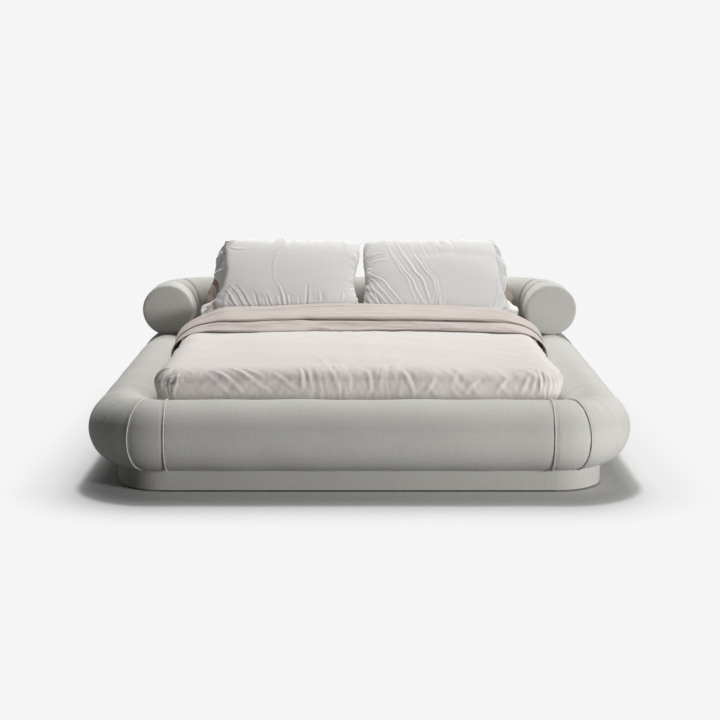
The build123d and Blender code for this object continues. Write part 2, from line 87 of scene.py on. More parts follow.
def add_node(tree: NodeTree, kind: str, inputs: Optional[dict] = None, **settings) -> Node:
    """Add one node.

    Args:
        tree: the node tree that takes it.
        kind: the node's type.
        inputs: a value, an output or a node, whose first output is taken, for each input by name or number.
        settings: the node's own properties.

    Returns:
        The new node.
    """
    node = tree.nodes.new(kind)
    for key, value in settings.items():
        setattr(node, key, value)
    for key, value in (inputs or {}).items():
        if isinstance(value, Node):
            value = value.outputs[0]
        if isinstance(value, NodeSocket):
            tree.links.new(value, node.inputs[key])
        else:
            node.inputs[key].default_value = value
    return node


def linear(colour: str) -> tuple[float, float, float, float]:
    """Turn an sRGB hex colour into the linear values that a shader takes.

    Args:
        colour: six hex digits after a number sign.

    Returns:
        Red, green, blue and alpha.
    """
    parts = [int(colour[place : place + 2], 16) / 255 for place in (1, 3, 5)]
    turned = [part / 12.92 if part <= 0.04045 else ((part + 0.055) / 1.055) ** 2.4 for part in parts]
    return (*turned, 1.0)


def smooth_step(value: Array) -> Array:
    """Ease from 0 to 1 as the value goes from 0 to 1."""
    held = np.clip(value, 0, 1)
    return held * held * (3 - 2 * held)


def bell(value: Array) -> Array:
    """A bell curve, 1 at 0 and next to nothing past 2."""
    return np.exp(-(value**2))


def run_lengths(line: Array) -> Array:
    """Distance along a line from its start to each of its points."""
    return np.concatenate([[0], np.cumsum(np.linalg.norm(np.diff(line, axis=0), axis=1))])


@dataclass(frozen=True)
class Ripple:
    """A smooth random field, the sum of a few seeded waves.

    Args:
        seed: which field it is.
        length: the usual distance between crests, one value for each direction.
        waves: how many waves are added.
    """

    seed: int
    length: tuple[float, ...]
    waves: int = 14

    def at(self, points: Array) -> Array:
        """Values of about -1 to 1 at the points, given as (count, directions).

        Args:
            points: the places.

        Returns:
            One value for each point.
        """
        random = np.random.default_rng(self.seed)
        total = np.zeros(len(points))
        for _ in range(self.waves):
            turn = random.normal(size=len(self.length))
            turn *= random.uniform(0.6, 1.5) / np.linalg.norm(turn)
            phase = random.uniform(0, 2 * math.pi)
            total += np.sin(2 * math.pi * (points / np.array(self.length)) @ turn + phase)
        return total / math.sqrt(self.waves)

    def over(self, *grids: Array) -> Array:
        """Values over a grid, given as one array of coordinates for each direction."""
        return self.at(np.stack([grid.ravel() for grid in grids], 1)).reshape(grids[0].shape)


@dataclass(frozen=True)
class Fold:
    """One ridge of cloth along a curve of three points, in the unfolded sheet, in metres."""

    start: tuple[float, float]
    middle: tuple[float, float]
    end: tuple[float, float]
    width: float
    height: float

    def at(self, points: Array) -> Array:
        """Height of the ridge at the points: a steep face on one side, a long one on the other.

        Args:
            points: places in the unfolded sheet.

        Returns:
            One height for each point.
        """
        steps = np.linspace(0, 1, 13)[:, None]
        start, middle, end = (np.array(p) for p in (self.start, self.middle, self.end))
        line = (1 - steps) ** 2 * start + 2 * steps * (1 - steps) * middle + steps**2 * end
        low, high = line.min(0) - 5 * self.width, line.max(0) + 5 * self.width
        held = np.where(((points > low) & (points < high)).all(axis=1))[0]
        total = np.zeros(len(points))
        if len(held):
            total[held] = self.ridge(points[held], line)
        return total

    def ridge(self, points: Array, line: Array) -> Array:
        """Height of the ridge at points near its line.

        Args:
            points: places in the unfolded sheet.
            line: the ridge's line.

        Returns:
            One height for each point.
        """
        near = np.full(len(points), 1e9)
        across = np.zeros(len(points))
        along = np.zeros(len(points))
        for piece in range(len(line) - 1):
            a, b = line[piece], line[piece + 1]
            run = b - a
            share = np.clip(((points - a) @ run) / (run @ run), 0, 1)
            gap = points - a - share[:, None] * run
            distance = np.hypot(gap[:, 0], gap[:, 1])
            side = np.sign(run[0] * gap[:, 1] - run[1] * gap[:, 0])
            closer = distance < near
            near = np.where(closer, distance, near)
            across = np.where(closer, distance * side, across)
            along = np.where(closer, (piece + share) / (len(line) - 1), along)
        fade = np.sin(math.pi * np.clip(along * 0.86 + 0.07, 0, 1)) ** 0.7
        hollow = bell((across - 1.5 * self.width) / (1.1 * self.width))
        return self.height * fade * (bell(across / self.width) - 0.55 * hollow)


def folded(points: Array, folds: Sequence[Fold]) -> Array:
    """Sum of the folds at points of the unfolded sheet."""
    return sum((fold.at(points) for fold in folds), np.zeros(len(points)))


def fold_rows(rows: Sequence[tuple[float, ...]], width_gain: float = 1.0, height_gain: float = 1.0) -> list[Fold]:
    """Folds from rows of three points, a width and a height."""
    return [Fold(row[:2], row[2:4], row[4:6], width_gain * row[6], row[7] * height_gain) for row in rows]


@dataclass
class Surface:
    """A mesh being gathered from grids of points, with its own map in metres."""

    points: list = field(default_factory=list)
    faces: list = field(default_factory=list)
    maps: list = field(default_factory=list)
    count: int = 0

    def grid(self, points: Array, u: Array, v: Array, close_rows: bool = False, close_columns: bool = False) -> int:
        """Add a grid of quads.

        Args:
            points: rows by columns by 3.
            u: the map's first coordinate of each row, with one more if the rows close.
            v: the map's second coordinate of each column, with one more if the columns close.
            close_rows: whether the last row joins the first.
            close_columns: whether the last column joins the first.

        Returns:
            The number of the grid's first point.
        """
        rows, columns = points.shape[:2]
        first = self.count
        self.points.append(points.reshape(-1, 3))
        self.count += rows * columns
        for i in range(rows if close_rows else rows - 1):
            for j in range(columns if close_columns else columns - 1):
                far_i, far_j = (i + 1) % rows, (j + 1) % columns
                ring = ((i, j), (far_i, j), (far_i, far_j), (i, far_j))
                self.faces.append([first + a * columns + b for a, b in ring])
                self.maps += [(u[i], v[j]), (u[i + 1], v[j]), (u[i + 1], v[j + 1]), (u[i], v[j + 1])]
        return first

    def cap(self, corners: Sequence[int]) -> None:
        """Close an end with one flat face."""
        self.faces.append(list(corners))
        self.maps += [(0.0, 0.0)] * len(corners)

    def tube(self, rings: Array, u: Array, v: Array) -> None:
        """Add a closed tube with a flat cap at each end, mapped as a grid is.

        Args:
            rings: rings by columns by 3.
            u: the map's first coordinate of each ring.
            v: the map's second coordinate of each column, and one more.
        """
        first = self.grid(rings, u, v, close_columns=True)
        columns = rings.shape[1]
        self.cap(range(first, first + columns))
        self.cap(range(self.count - 1, self.count - columns - 1, -1))

    def finish(self, name: str) -> Object:
        """Make the object."""
        return new_piece(name, np.concatenate(self.points), self.faces, self.maps)


def link_object(name: str, data: ID) -> Object:
    """A new object in the scene.

    Args:
        name: its name.
        data: its mesh, lamp or camera.

    Returns:
        The object.
    """
    made = bpy.data.objects.new(name, data)
    bpy.context.scene.collection.objects.link(made)
    return made


def draw_smooth(mesh: Mesh) -> None:
    """Shade every face smooth."""
    mesh.polygons.foreach_set("use_smooth", np.ones(len(mesh.polygons), bool))


def new_piece(name: str, points: Array, faces: Sequence, maps: Sequence) -> Object:
    """Make a smooth piece with its faces pointing outwards.

    Args:
        name: the piece's name.
        points: its points.
        faces: the numbers of each face's points.
        maps: the place of each face's corners in the piece's map, in metres.

    Returns:
        The new object.
    """
    mesh = bpy.data.meshes.new(name)
    mesh.from_pydata(points.tolist(), [], [[int(i) for i in face] for face in faces])
    mesh.uv_layers.new(name="UVMap").data.foreach_set("uv", np.array(maps, np.float32).ravel())
    work = bmesh.new()
    work.from_mesh(mesh)
    bmesh.ops.recalc_face_normals(work, faces=work.faces)
    work.to_mesh(mesh)
    work.free()
    draw_smooth(mesh)
    return link_object(name, mesh)


def corner_maps(unfolded: Array, faces: Sequence) -> Array:
    """The place of each face's corners in the flat cut, from that of each point."""
    return unfolded[[int(i) for face in faces for i in face]]


def sharpen(piece: Object, angle: float = 40.0) -> None:
    """Keep edges sharper than the angle, in degrees, as edges."""
    piece.data.set_sharp_from_angle(angle=math.radians(angle))


def thicken(piece: Object, thickness: float) -> None:
    """Give a sheet its thickness, inwards.

    Args:
        piece: the sheet.
        thickness: in metres.
    """
    wall = piece.modifiers.new("Thickness", "SOLIDIFY")
    wall.thickness = thickness
    wall.offset = -1.0
    wall.use_quality_normals = True
    settle(piece)


def settle(piece: Object) -> None:
    """Make the result of a piece's modifiers its own mesh.

    Args:
        piece: the piece, which has no modifiers afterwards.
    """
    graph = bpy.context.evaluated_depsgraph_get()
    made = bpy.data.meshes.new_from_object(piece.evaluated_get(graph))
    piece.modifiers.clear()
    piece.data = made


def dress(piece: Object, material: Material) -> None:
    """Give a piece one material, whatever slots it had."""
    if not piece.data.materials:
        piece.data.materials.append(material)
    for slot in piece.material_slots:
        slot.material = material


def hand_over(
    piece: Object,
    body: str,
    nodes: Sequence[str],
    material: Optional[Material] = None,
) -> None:
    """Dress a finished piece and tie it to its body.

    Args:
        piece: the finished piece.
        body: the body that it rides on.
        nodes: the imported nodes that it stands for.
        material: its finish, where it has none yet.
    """
    if material is not None:
        dress(piece, material)
    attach(piece, body)
    if nodes:
        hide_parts(*nodes)
    log.info("%s: %d faces, rides on %s", piece.name, len(piece.data.polygons), body)


def start_material(name: str) -> tuple[Material, NodeTree, Node]:
    """A new material, its tree and its shader.

    Args:
        name: the finish's name.

    Returns:
        All three.
    """
    material = bpy.data.materials.new(name)
    material.use_nodes = True
    return material, material.node_tree, material.node_tree.nodes["Principled BSDF"]


def end_material(
    tree: NodeTree,
    shader: Node,
    share: Node,
    colours: tuple[str, str],
    relief: tuple[NodeSocket, float, float],
    values: dict[str, float],
) -> None:
    """Give a shader its colour, its relief and its plain values.

    Args:
        tree: the material's tree.
        shader: the material's shader.
        share: how much of the second colour shows.
        colours: the two colours.
        relief: the relief's height, its size in millimetres and its strength.
        values: the value of each plain socket.
    """
    ends = {"Factor": share, 6: linear(colours[0]), 7: linear(colours[1])}
    mixed = add_node(tree, "ShaderNodeMix", ends, data_type="RGBA")
    tree.links.new(mixed.outputs[2], shader.inputs["Base Color"])
    height, size, strength = relief
    raised = {"Height": height, "Distance": size * MILLIMETRE, "Strength": strength}
    tree.links.new(add_node(tree, "ShaderNodeBump", raised).outputs["Normal"], shader.inputs["Normal"])
    for name, value in values.items():
        shader.inputs[name].default_value = value


# Finishes


@dataclass(frozen=True)
class WovenCloth:
    """A woven cloth: two sets of uneven threads, a soft nap and a slow change of shade.

    Args:
        name: the finish's name.
        colour: its usual colour.
        dark: the colour between threads and in thin places.
        slub_mm: width of the uneven threads that show.
        slub_length_mm: how long such a thread runs before it thins.
        cross_share: how strong the threads across are beside those along.
        contrast: how much the threads change the colour.
        bump_mm: height of the threads.
        roughness: of the cloth.
        sheen: of its nap.
    """

    name: str
    colour: str
    dark: str
    slub_mm: float
    slub_length_mm: float
    cross_share: float
    contrast: float
    bump_mm: float
    roughness: float
    sheen: float

    def make(self) -> Material:
        """Build the material."""
        material, tree, shader = start_material(self.name)
        place = add_node(tree, "ShaderNodeTexCoord").outputs["UV"]
        wide, long = 1 / (self.slub_mm * MILLIMETRE), 1 / (self.slub_length_mm * MILLIMETRE)
        threads = []
        for scale in ((wide, long, wide), (long, wide, long)):
            turned = add_node(tree, "ShaderNodeMapping", {"Vector": place, "Scale": scale})
            uneven = {"Vector": turned, "Scale": 1.0, "Detail": 3.0, "Roughness": 0.6}
            threads.append(add_node(tree, "ShaderNodeTexNoise", uneven))
        pair = {"Factor": self.cross_share, 2: threads[0], 3: threads[1]}
        crossing = add_node(tree, "ShaderNodeMix", pair, data_type="FLOAT")
        cloud = add_node(tree, "ShaderNodeTexNoise", {"Vector": place, "Scale": 3.0, "Detail": 2.0})
        both = add_node(tree, "ShaderNodeMath", {0: crossing, 1: 0.8}, operation="MULTIPLY")
        both = add_node(tree, "ShaderNodeMath", {0: cloud, 1: 0.2, 2: both}, operation="MULTIPLY_ADD")
        span = {"Value": both, "From Min": 0.32, "From Max": 0.68, "To Min": self.contrast, "To Max": 0.0}
        spread = add_node(tree, "ShaderNodeMapRange", span)
        values = {"Roughness": self.roughness, "Specular IOR Level": 0.25}
        values |= {"Sheen Weight": self.sheen, "Sheen Roughness": 0.5}
        end_material(tree, shader, spread, (self.colour, self.dark), (crossing, self.bump_mm, 0.8), values)
        return material


@dataclass(frozen=True)
class Timber:
    """Planed timber or plywood, with grain drawn out along one axis and plies in its height."""

    name: str
    light: str
    dark: str
    grain_mm: float
    grain_length_mm: float
    ply_mm: float
    roughness: float

    def make(self) -> Material:
        """Build the material."""
        material, tree, shader = start_material(self.name)
        place = add_node(tree, "ShaderNodeTexCoord").outputs["Object"]
        fine, drawn = 1 / (self.grain_mm * MILLIMETRE), 1 / (self.grain_length_mm * MILLIMETRE)
        turned = add_node(tree, "ShaderNodeMapping", {"Vector": place, "Scale": (fine, drawn, fine)})
        waved = {"Vector": turned, "Scale": 1.0, "Detail": 4.0, "Distortion": 0.6}
        grain = add_node(tree, "ShaderNodeTexNoise", waved)
        parts = add_node(tree, "ShaderNodeSeparateXYZ", {"Vector": place})
        plies = {0: parts.outputs["Z"], 1: 1 / (self.ply_mm * MILLIMETRE)}
        height = add_node(tree, "ShaderNodeMath", plies, operation="MULTIPLY")
        ply = add_node(tree, "ShaderNodeMath", {0: height, 1: 2.0}, operation="PINGPONG")
        mixed = add_node(tree, "ShaderNodeMath", {0: ply, 1: 0.12, 2: grain}, operation="MULTIPLY_ADD")
        spread = add_node(tree, "ShaderNodeMapRange", {"Value": mixed, "From Min": 0.35, "From Max": 0.8})
        values = {"Roughness": self.roughness}
        end_material(tree, shader, spread, (self.light, self.dark), (grain, 0.15, 0.5), values)
        return material


@dataclass(frozen=True)
class HardFinish:
    """A moulded, plated or coated surface with a fine grain in its colour and its relief."""

    name: str
    colour: str
    worn: str
    grain_mm: float
    metallic: float
    roughness: float
    bump_mm: float

    def make(self) -> Material:
        """Build the material."""
        material, tree, shader = start_material(self.name)
        place = add_node(tree, "ShaderNodeTexCoord").outputs["Object"]
        fine = {"Vector": place, "Scale": 1 / (self.grain_mm * MILLIMETRE), "Detail": 3.0}
        grain = add_node(tree, "ShaderNodeTexNoise", fine)
        values = {"Metallic": self.metallic, "Roughness": self.roughness}
        end_material(tree, shader, grain, (self.colour, self.worn), (grain, self.bump_mm, 0.5), values)
        return material


@dataclass(frozen=True)
class Finishes:
    """Every finish on the bed, by what it is made of."""

    # Woven polyester and linen, matt, with uneven threads; drawn coarser than the real 1 mm thread to show
    upholstery: WovenCloth = WovenCloth(
        "upholstery_linen_weave", "#CDCCC7", "#B0AFA9", 5.0, 90.0, 0.35, 0.5, 0.5, 0.92, 0.08
    )
    # The same cloth on the plinth, painted a tone deeper to stand for the shade under the overhanging rail
    plinth: WovenCloth = WovenCloth("plinth_linen_painted_shade", "#C0BFBA", "#A5A49E", 5.0, 90.0, 0.35, 0.5, 0.5, 0.92, 0.08)
    # Twisted cord in the same cloth cut on the bias, its threads running aslant; painted paler than the cloth as a
    # highlight, for the light its raised line catches
    piping: WovenCloth = WovenCloth("piping_linen_painted_highlight", "#DCDBD6", "#C0BFB9", 2.0, 12.0, 0.5, 0.4, 0.2, 0.9, 0.08)
    # Washed cotton percale, smooth and soft
    coverlet: WovenCloth = WovenCloth(
        "coverlet_washed_cotton", "#DED8D4", "#D0C9C4", 2.5, 40.0, 0.5, 0.3, 0.2, 0.85, 0.06
    )
    # Fine wool and cotton twill, a warm grey
    blanket: WovenCloth = WovenCloth("blanket_wool_twill", "#CDC3BD", "#B7ACA5", 2.5, 60.0, 0.3, 0.5, 0.3, 0.9, 0.15)
    # Bleached cotton sateen with a slight gloss along its creases
    white_case: WovenCloth = WovenCloth(
        "pillowcase_white_sateen", "#E3E2E0", "#D4D3D1", 2.0, 30.0, 0.5, 0.35, 0.2, 0.72, 0.12
    )
    # The same cloth dyed taupe
    taupe_case: WovenCloth = WovenCloth(
        "pillowcase_taupe_sateen", "#BCAAA2", "#A89890", 2.0, 30.0, 0.5, 0.4, 0.2, 0.75, 0.15
    )
    # Knitted ticking, quilted, off-white
    ticking: WovenCloth = WovenCloth("mattress_knit_ticking", "#ECEAE4", "#D9D5CC", 3.0, 9.0, 0.5, 0.5, 0.4, 0.88, 0.15)
    # Birch plywood, sanded, its plies showing on every edge
    plywood: Timber = Timber("birch_plywood", "#D9BF95", "#B08F61", 9.0, 160.0, 1.6, 0.62)
    # Planed pine with wide grain
    pine: Timber = Timber("planed_pine", "#E0C394", "#B98A52", 14.0, 420.0, 30.0, 0.58)
    # Bent beech veneers, lacquered
    beech: Timber = Timber("lacquered_beech_veneer", "#DDBB8B", "#BF9666", 7.0, 240.0, 1.5, 0.4)
    # Moulded rubber, slightly grey where it was released from the mould
    rubber: HardFinish = HardFinish("moulded_black_rubber", "#1B1B1C", "#2A2A2B", 3.0, 0.0, 0.7, 0.2)
    # Injection-moulded polyethylene glides
    glide: HardFinish = HardFinish("moulded_black_glide", "#0E0E0F", "#18181A", 2.0, 0.0, 0.5, 0.1)
    # Powder-coated steel plate, with the fine orange peel of the coat
    coated_steel: HardFinish = HardFinish("powder_coated_steel", "#1D1E20", "#2C2D30", 1.5, 0.0, 0.5, 0.12)
    # Zinc-plated steel, softly bright
    zinc: HardFinish = HardFinish("zinc_plated_steel", "#B4B7BA", "#8F9296", 1.2, 1.0, 0.35, 0.05)


# Lines that every soft piece is set out from


@dataclass(frozen=True)
class BedLines:
    """Main lines of the bed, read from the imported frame, in metres."""

    side_x: float
    end_y: float
    bend: float
    rail_radius: float
    rail_height: float
    rail_flat: float
    shelf_low: float
    shelf_top: float
    carcase_half: float
    carcase_top: float
    plinth_out: float
    board_out: float
    plinth_low: float
    bolster_radius: float
    bolster_height: float
    seat: float
    frame_half: float
    arm_front: float
    disc_depth: float

    @classmethod
    def from_frame(cls) -> "BedLines":
        """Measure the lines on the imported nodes."""
        right_low, right_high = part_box("rail_cover_right")
        foot_low, foot_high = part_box("rail_cover_foot")
        cloth_low, cloth_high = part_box("plinth_cloth")
        carcase_low, carcase_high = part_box("rail_carcase_right")
        shelf_low, shelf_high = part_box("shelf_right")
        back_low, back_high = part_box("bolster_back_cover")
        inner_low, inner_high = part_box("bolster_frame")
        disc_low, disc_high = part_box("bolster_end_caps")
        side_x = (right_low.x + right_high.x) / 2
        end_y = -(foot_low.y + foot_high.y) / 2
        radius = (right_high.x - right_low.x) / 2
        bolster_radius = (back_high.y - back_low.y) / 2
        return cls(
            side_x=side_x, end_y=end_y, bend=end_y - right_high.y, rail_radius=radius,
            rail_height=right_high.z - radius, rail_flat=right_low.z, shelf_low=shelf_low.z, shelf_top=shelf_high.z,
            carcase_half=(carcase_high.x - carcase_low.x) / 2, carcase_top=carcase_high.z,
            plinth_out=cloth_high.x - side_x, board_out=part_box("plinth_board_right")[1].x - side_x,
            plinth_low=cloth_low.z, bolster_radius=bolster_radius, bolster_height=back_high.z - bolster_radius,
            seat=back_low.z, frame_half=(inner_high.z - inner_low.z) / 2, arm_front=disc_low.y,
            disc_depth=disc_high.y - disc_low.y,
        )

    @property
    def bend_x(self) -> float:
        """Where the foot and head runs end."""
        return self.side_x - self.bend

    @property
    def bend_y(self) -> float:
        """Where the side runs end."""
        return self.end_y - self.bend

    @property
    def quarter(self) -> float:
        """Length of a bend along its centre line."""
        return self.bend * math.pi / 2

    @property
    def half_round(self) -> float:
        """Length of the centre line from the middle of the foot to the middle of the head."""
        return 2 * self.bend_x + 2 * self.quarter + 2 * self.bend_y


@dataclass
class Stations:
    """Places along the rail's centre line.

    Args:
        origin: the place of each station, as (count, 2).
        out: the outward direction there, as (count, 2).
        along: distance from the middle of the foot, the same on the left and the right.
        turn_radius: the bend's radius, or 0 on a straight run.
    """

    origin: Array
    out: Array
    along: Array
    turn_radius: float

    @classmethod
    def run(cls, lines: BedLines, side: Side, places: Array) -> "Stations":
        """Stations on a straight run, at distances from its middle.

        Args:
            lines: the bed's main lines.
            side: the run.
            places: distances from its middle.

        Returns:
            The stations.
        """
        x, y = side.value
        out = np.tile([float(x), float(y)], (len(places), 1))
        if x:
            origin = np.stack([np.full(len(places), x * lines.side_x), places], 1)
            along = lines.bend_x + lines.quarter + lines.bend_y + places
        else:
            origin = np.stack([places, np.full(len(places), y * lines.end_y)], 1)
            along = np.abs(places) if y < 0 else lines.half_round - np.abs(places)
        return cls(origin, out, along, 0.0)

    @classmethod
    def turn(cls, lines: BedLines, corner: Corner, angles: Array) -> "Stations":
        """Stations round a bend, at angles in degrees from the side run to the end run.

        Args:
            lines: the bed's main lines.
            corner: the bend.
            angles: in degrees.

        Returns:
            The stations.
        """
        x, y = corner.value
        turned = np.radians(angles)
        out = np.stack([x * np.cos(turned), y * np.sin(turned)], 1)
        origin = np.array([x * lines.bend_x, y * lines.bend_y]) + lines.bend * out
        from_foot = lines.bend_x + lines.quarter - turned * lines.bend
        along = from_foot if y < 0 else lines.half_round - from_foot
        return cls(origin, out, along, lines.bend)

    def place(self, offset: Array, height: Array) -> Array:
        """Points at an offset and a height for each station and column, as (stations, columns, 3)."""
        flat = self.origin[:, None, :] + self.out[:, None, :] * offset[..., None]
        return np.concatenate([flat, height[..., None]], 2)

    def repeated(self, section: Sequence[tuple[float, float]]) -> tuple[Array, Array]:
        """Offsets and heights of the same section at every station."""
        tiled = np.tile(np.array(section, float), (len(self.along), 1, 1))
        return tiled[..., 0], tiled[..., 1]

    def rounds(self, angles: Array, radius: float) -> tuple[Array, Array, Array]:
        """What a round section needs at each station and angle.

        Args:
            angles: round the section.
            radius: of the section.

        Returns:
            The angle, the distance along the centre line, and how much longer the way round a bend is
            there than on the centre line.
        """
        angle = np.tile(angles, (len(self.along), 1))
        along = np.tile(self.along[:, None], (1, angle.shape[1]))
        squeeze = np.ones_like(angle)
        if self.turn_radius:
            squeeze = (self.turn_radius + radius * np.cos(angle)) / self.turn_radius
        return angle, along, squeeze


def marks(start: float, end: float, step: float, close: Sequence[float] = (), reach: float = 0.012) -> Array:
    """Places from start to end, a step apart, and finer beside the places in close.

    Args:
        start: the first place.
        end: the last place.
        step: the usual distance between places.
        close: places with finer steps beside them.
        reach: how far the finer steps run.

    Returns:
        The places, from low to high.
    """
    places = list(np.linspace(start, end, max(2, round(abs(end - start) / step) + 1)))
    for middle in close:
        places += [middle + share * reach for share in np.linspace(-1, 1, 17)]
    low, high = min(start, end), max(start, end)
    kept = sorted(p for p in places if low <= p <= high)
    spaced = [kept[0]]
    for place in kept[1:-1]:
        if place - spaced[-1] > reach / 20 and high - place > reach / 20:
            spaced.append(place)
    return np.array(spaced + [kept[-1]])


@dataclass(frozen=True)
class Seam:
    """A seam round the rail or the bolster, at a distance along the centre line."""

    along: float
    depth: float
    width: float
    piped: bool


# Upholstered rail


@dataclass
class RailCovers:
    """The padded covers of the rail: four runs and four bends, with their seams.

    Args:
        lines: the bed's main lines.
        welt_setback: from the bend's start back to the first piped seam.
        welt_angle: from the end run round to the second piped seam, in degrees.
        plain_angles: from the end run round to the plain seams, in degrees.
        side_seam_setback: from the bend's start along the side run to its plain seam.
    """

    lines: BedLines
    welt_setback: float = 0.019
    welt_angle: float = 23.5
    plain_angles: tuple[float, ...] = (48.5, 75.5)
    side_seam_setback: float = 0.165
    arc_columns: int = 88
    step: float = 0.03
    plain_depth: float = 0.0016
    plain_width: float = 0.0026
    piped_depth: float = 0.002
    piped_width: float = 0.0055
    pull_depth: float = 0.0016
    pull_width: float = 0.022
    pucker_height: float = 0.0004
    pucker_pitch: float = 0.021
    pucker_width: float = 0.016
    softness: float = 0.0011
    cord_radius: float = 0.0031
    cord_lift: float = 0.001
    stitch_pitch: float = 0.007
    stitch_length: float = 0.0045
    stitch_radius: float = 0.0005
    stitch_setback: float = 0.0075

    def seams(self) -> list[Seam]:
        """Every seam from the middle of the foot to the middle of the head."""
        lines = self.lines
        piped = [lines.bend_x - self.welt_setback, lines.bend_x + lines.bend * math.radians(self.welt_angle)]
        plain = [lines.bend_x + lines.bend * math.radians(angle) for angle in self.plain_angles]
        plain.append(lines.bend_x + lines.quarter + self.side_seam_setback)
        found = []
        for places, depth, width, is_piped in (
            (piped, self.piped_depth, self.piped_width, True), (plain, self.plain_depth, self.plain_width, False),
        ):
            for along in places:
                for mirrored in (along, lines.half_round - along):
                    found.append(Seam(mirrored, depth, width, is_piped))
        return found

    def arc(self) -> Array:
        """Angles round the section, from the flat under the rail to where the cover meets the shelf."""
        lines = self.lines
        below = math.asin((lines.rail_flat - lines.rail_height) / lines.rail_radius)
        inside = math.pi + math.asin((lines.rail_height - lines.shelf_top) / lines.rail_radius)
        return np.linspace(below, inside, self.arc_columns)

    def relief(self, along: Array, angle: Array, squeeze: Array) -> Array:
        """How far the cloth stands out from the round section.

        Args:
            along: distance along the centre line.
            angle: angle round the section.
            squeeze: how much longer the way is there than on the centre line.

        Returns:
            The height at each point.
        """
        round_way = angle * self.lines.rail_radius
        total = self.softness * Ripple(3, (0.42, 0.3)).over(along, round_way)
        for seam in self.seams():
            gap = (along - seam.along) * squeeze
            total = total - seam.depth * bell(gap / seam.width)
            total = total - self.pull_depth * bell(gap / self.pull_width)
            pucker = np.sin(round_way / self.pucker_pitch + seam.along * 40)
            total = total + self.pucker_height * pucker * bell(gap / self.pucker_width)
        return total

    def section(self, stations: Stations, seat_from: float) -> Array:
        """The cover's section at each station, as points.

        Args:
            stations: the places along the rail.
            seat_from: the Y past which the top is flattened under the bolster.

        Returns:
            Points as (stations, columns, 3).
        """
        lines, arc = self.lines, self.arc()
        angle, along, squeeze = stations.rounds(arc, lines.rail_radius)
        fade = smooth_step((arc - arc[0]) / 0.12) * smooth_step((arc[-1] - arc) / 0.12)
        radius = lines.rail_radius + self.relief(along, angle, squeeze) * fade
        offset, height = radius * np.cos(angle), lines.rail_height + radius * np.sin(angle)
        seated = (stations.origin[:, 1] >= seat_from)[:, None]
        height = np.where(seated, np.minimum(height, lines.seat), height)
        half, top, low = lines.carcase_half, lines.carcase_top, lines.shelf_low
        inner = [(-half, lines.shelf_top), (-half, top), (half, top), (half, low), (lines.board_out, low)]
        inner_offset, inner_height = stations.repeated(inner + [(lines.board_out, lines.rail_flat)])
        return stations.place(np.hstack([offset, inner_offset]), np.hstack([height, inner_height]))

    def cover(self, name: str, stations: Stations) -> Object:
        """One closed length of the cover."""
        lengths = np.concatenate([self.arc() * self.lines.rail_radius, 2 + 0.1 * np.arange(7)])
        surface = Surface()
        surface.tube(self.section(stations, self.lines.arm_front), stations.along, lengths)
        piece = surface.finish(name)
        sharpen(piece)
        return piece

    def build(self, cloth: Material) -> None:
        """Make the eight covers."""
        lines = self.lines
        seam_places = [seam.along for seam in self.seams()]
        laid = []
        for side in Side:
            half = lines.bend_y if side.value[0] else lines.bend_x
            middle = lines.bend_x + lines.quarter + lines.bend_y
            if side.value[0]:
                close = [place - middle for place in seam_places] + [lines.arm_front]
            else:
                mine = [p if side is Side.FOOT else lines.half_round - p for p in seam_places]
                close = [sign * place for place in mine for sign in (-1, 1)]
            places = marks(-half, half, self.step, close)
            laid.append(("rail", side.name.lower(), Stations.run(lines, side, places)))
        close = [90 - math.degrees((p - lines.bend_x) / lines.bend) for p in seam_places]
        angles = marks(0, 90, 4.5, close, reach=4.0)
        laid += [("corner", corner.name.lower(), Stations.turn(lines, corner, angles)) for corner in Corner]
        for kind, word, stations in laid:
            piece = self.cover(f"{kind}_cloth_{word}", stations)
            hand_over(piece, "bed_frame", [f"{kind}_cover_{word}"], cloth)

    def seam_lines(self, spread: float, lift: float) -> list[Array]:
        """Lines round the rail along every piped seam, or beside it at a spread along the rail.

        Args:
            spread: distance from the seam, along the rail.
            lift: height over the section.

        Returns:
            The lines, without what lies under the bolster.
        """
        lines = self.lines
        found = []
        angle = self.arc()
        radius = lines.rail_radius + lift
        for x in (-1, 1):
            for end in (-1, 1):
                side = Side.FOOT if end < 0 else Side.HEAD
                place = np.array([x * (lines.bend_x - self.welt_setback + spread)])
                straight = Stations.run(lines, side, place)
                corner = next(c for c in Corner if c.value == (x, end))
                turned = Stations.turn(lines, corner, np.array([90 - self.welt_angle]))
                offset, height = (radius * np.cos(angle))[None], lines.rail_height + (radius * np.sin(angle))[None]
                loop = turned.place(offset, height)[0]
                along = np.array([-turned.out[0, 1], turned.out[0, 0]]) * spread
                loop[:, :2] += along
                for line in (straight.place(offset, height)[0], loop):
                    free = line[:, 2] < lines.seat if end > 0 else np.ones(len(line), bool)
                    for part in np.split(line, np.where(np.diff(free.astype(int)))[0] + 1):
                        if len(part) > 3 and (end < 0 or part[:, 2].max() < lines.seat):
                            found.append(part)
        return found

    def build_seams(self, cord: Material) -> None:
        """Make the piping and the rows of stitches beside it.

        Args:
            cord: the finish of the piping and its thread.
        """
        piping = piped_line("seam_piping", self.seam_lines(0, self.cord_lift), self.cord_radius, cord)
        hand_over(piping, "bed_frame", ["seam_welts"])
        rows = []
        for setback in (self.stitch_setback, -self.stitch_setback):
            rows += self.seam_lines(setback, -self.piped_depth * 0.2)
        sizes = {"Pitch": self.stitch_pitch, "Stitch length": self.stitch_length, "Thread radius": self.stitch_radius}
        hand_over(stitched_line("seam_stitches", rows, sizes, cord), "bed_frame", [])


# Geometry node trees for what follows a line


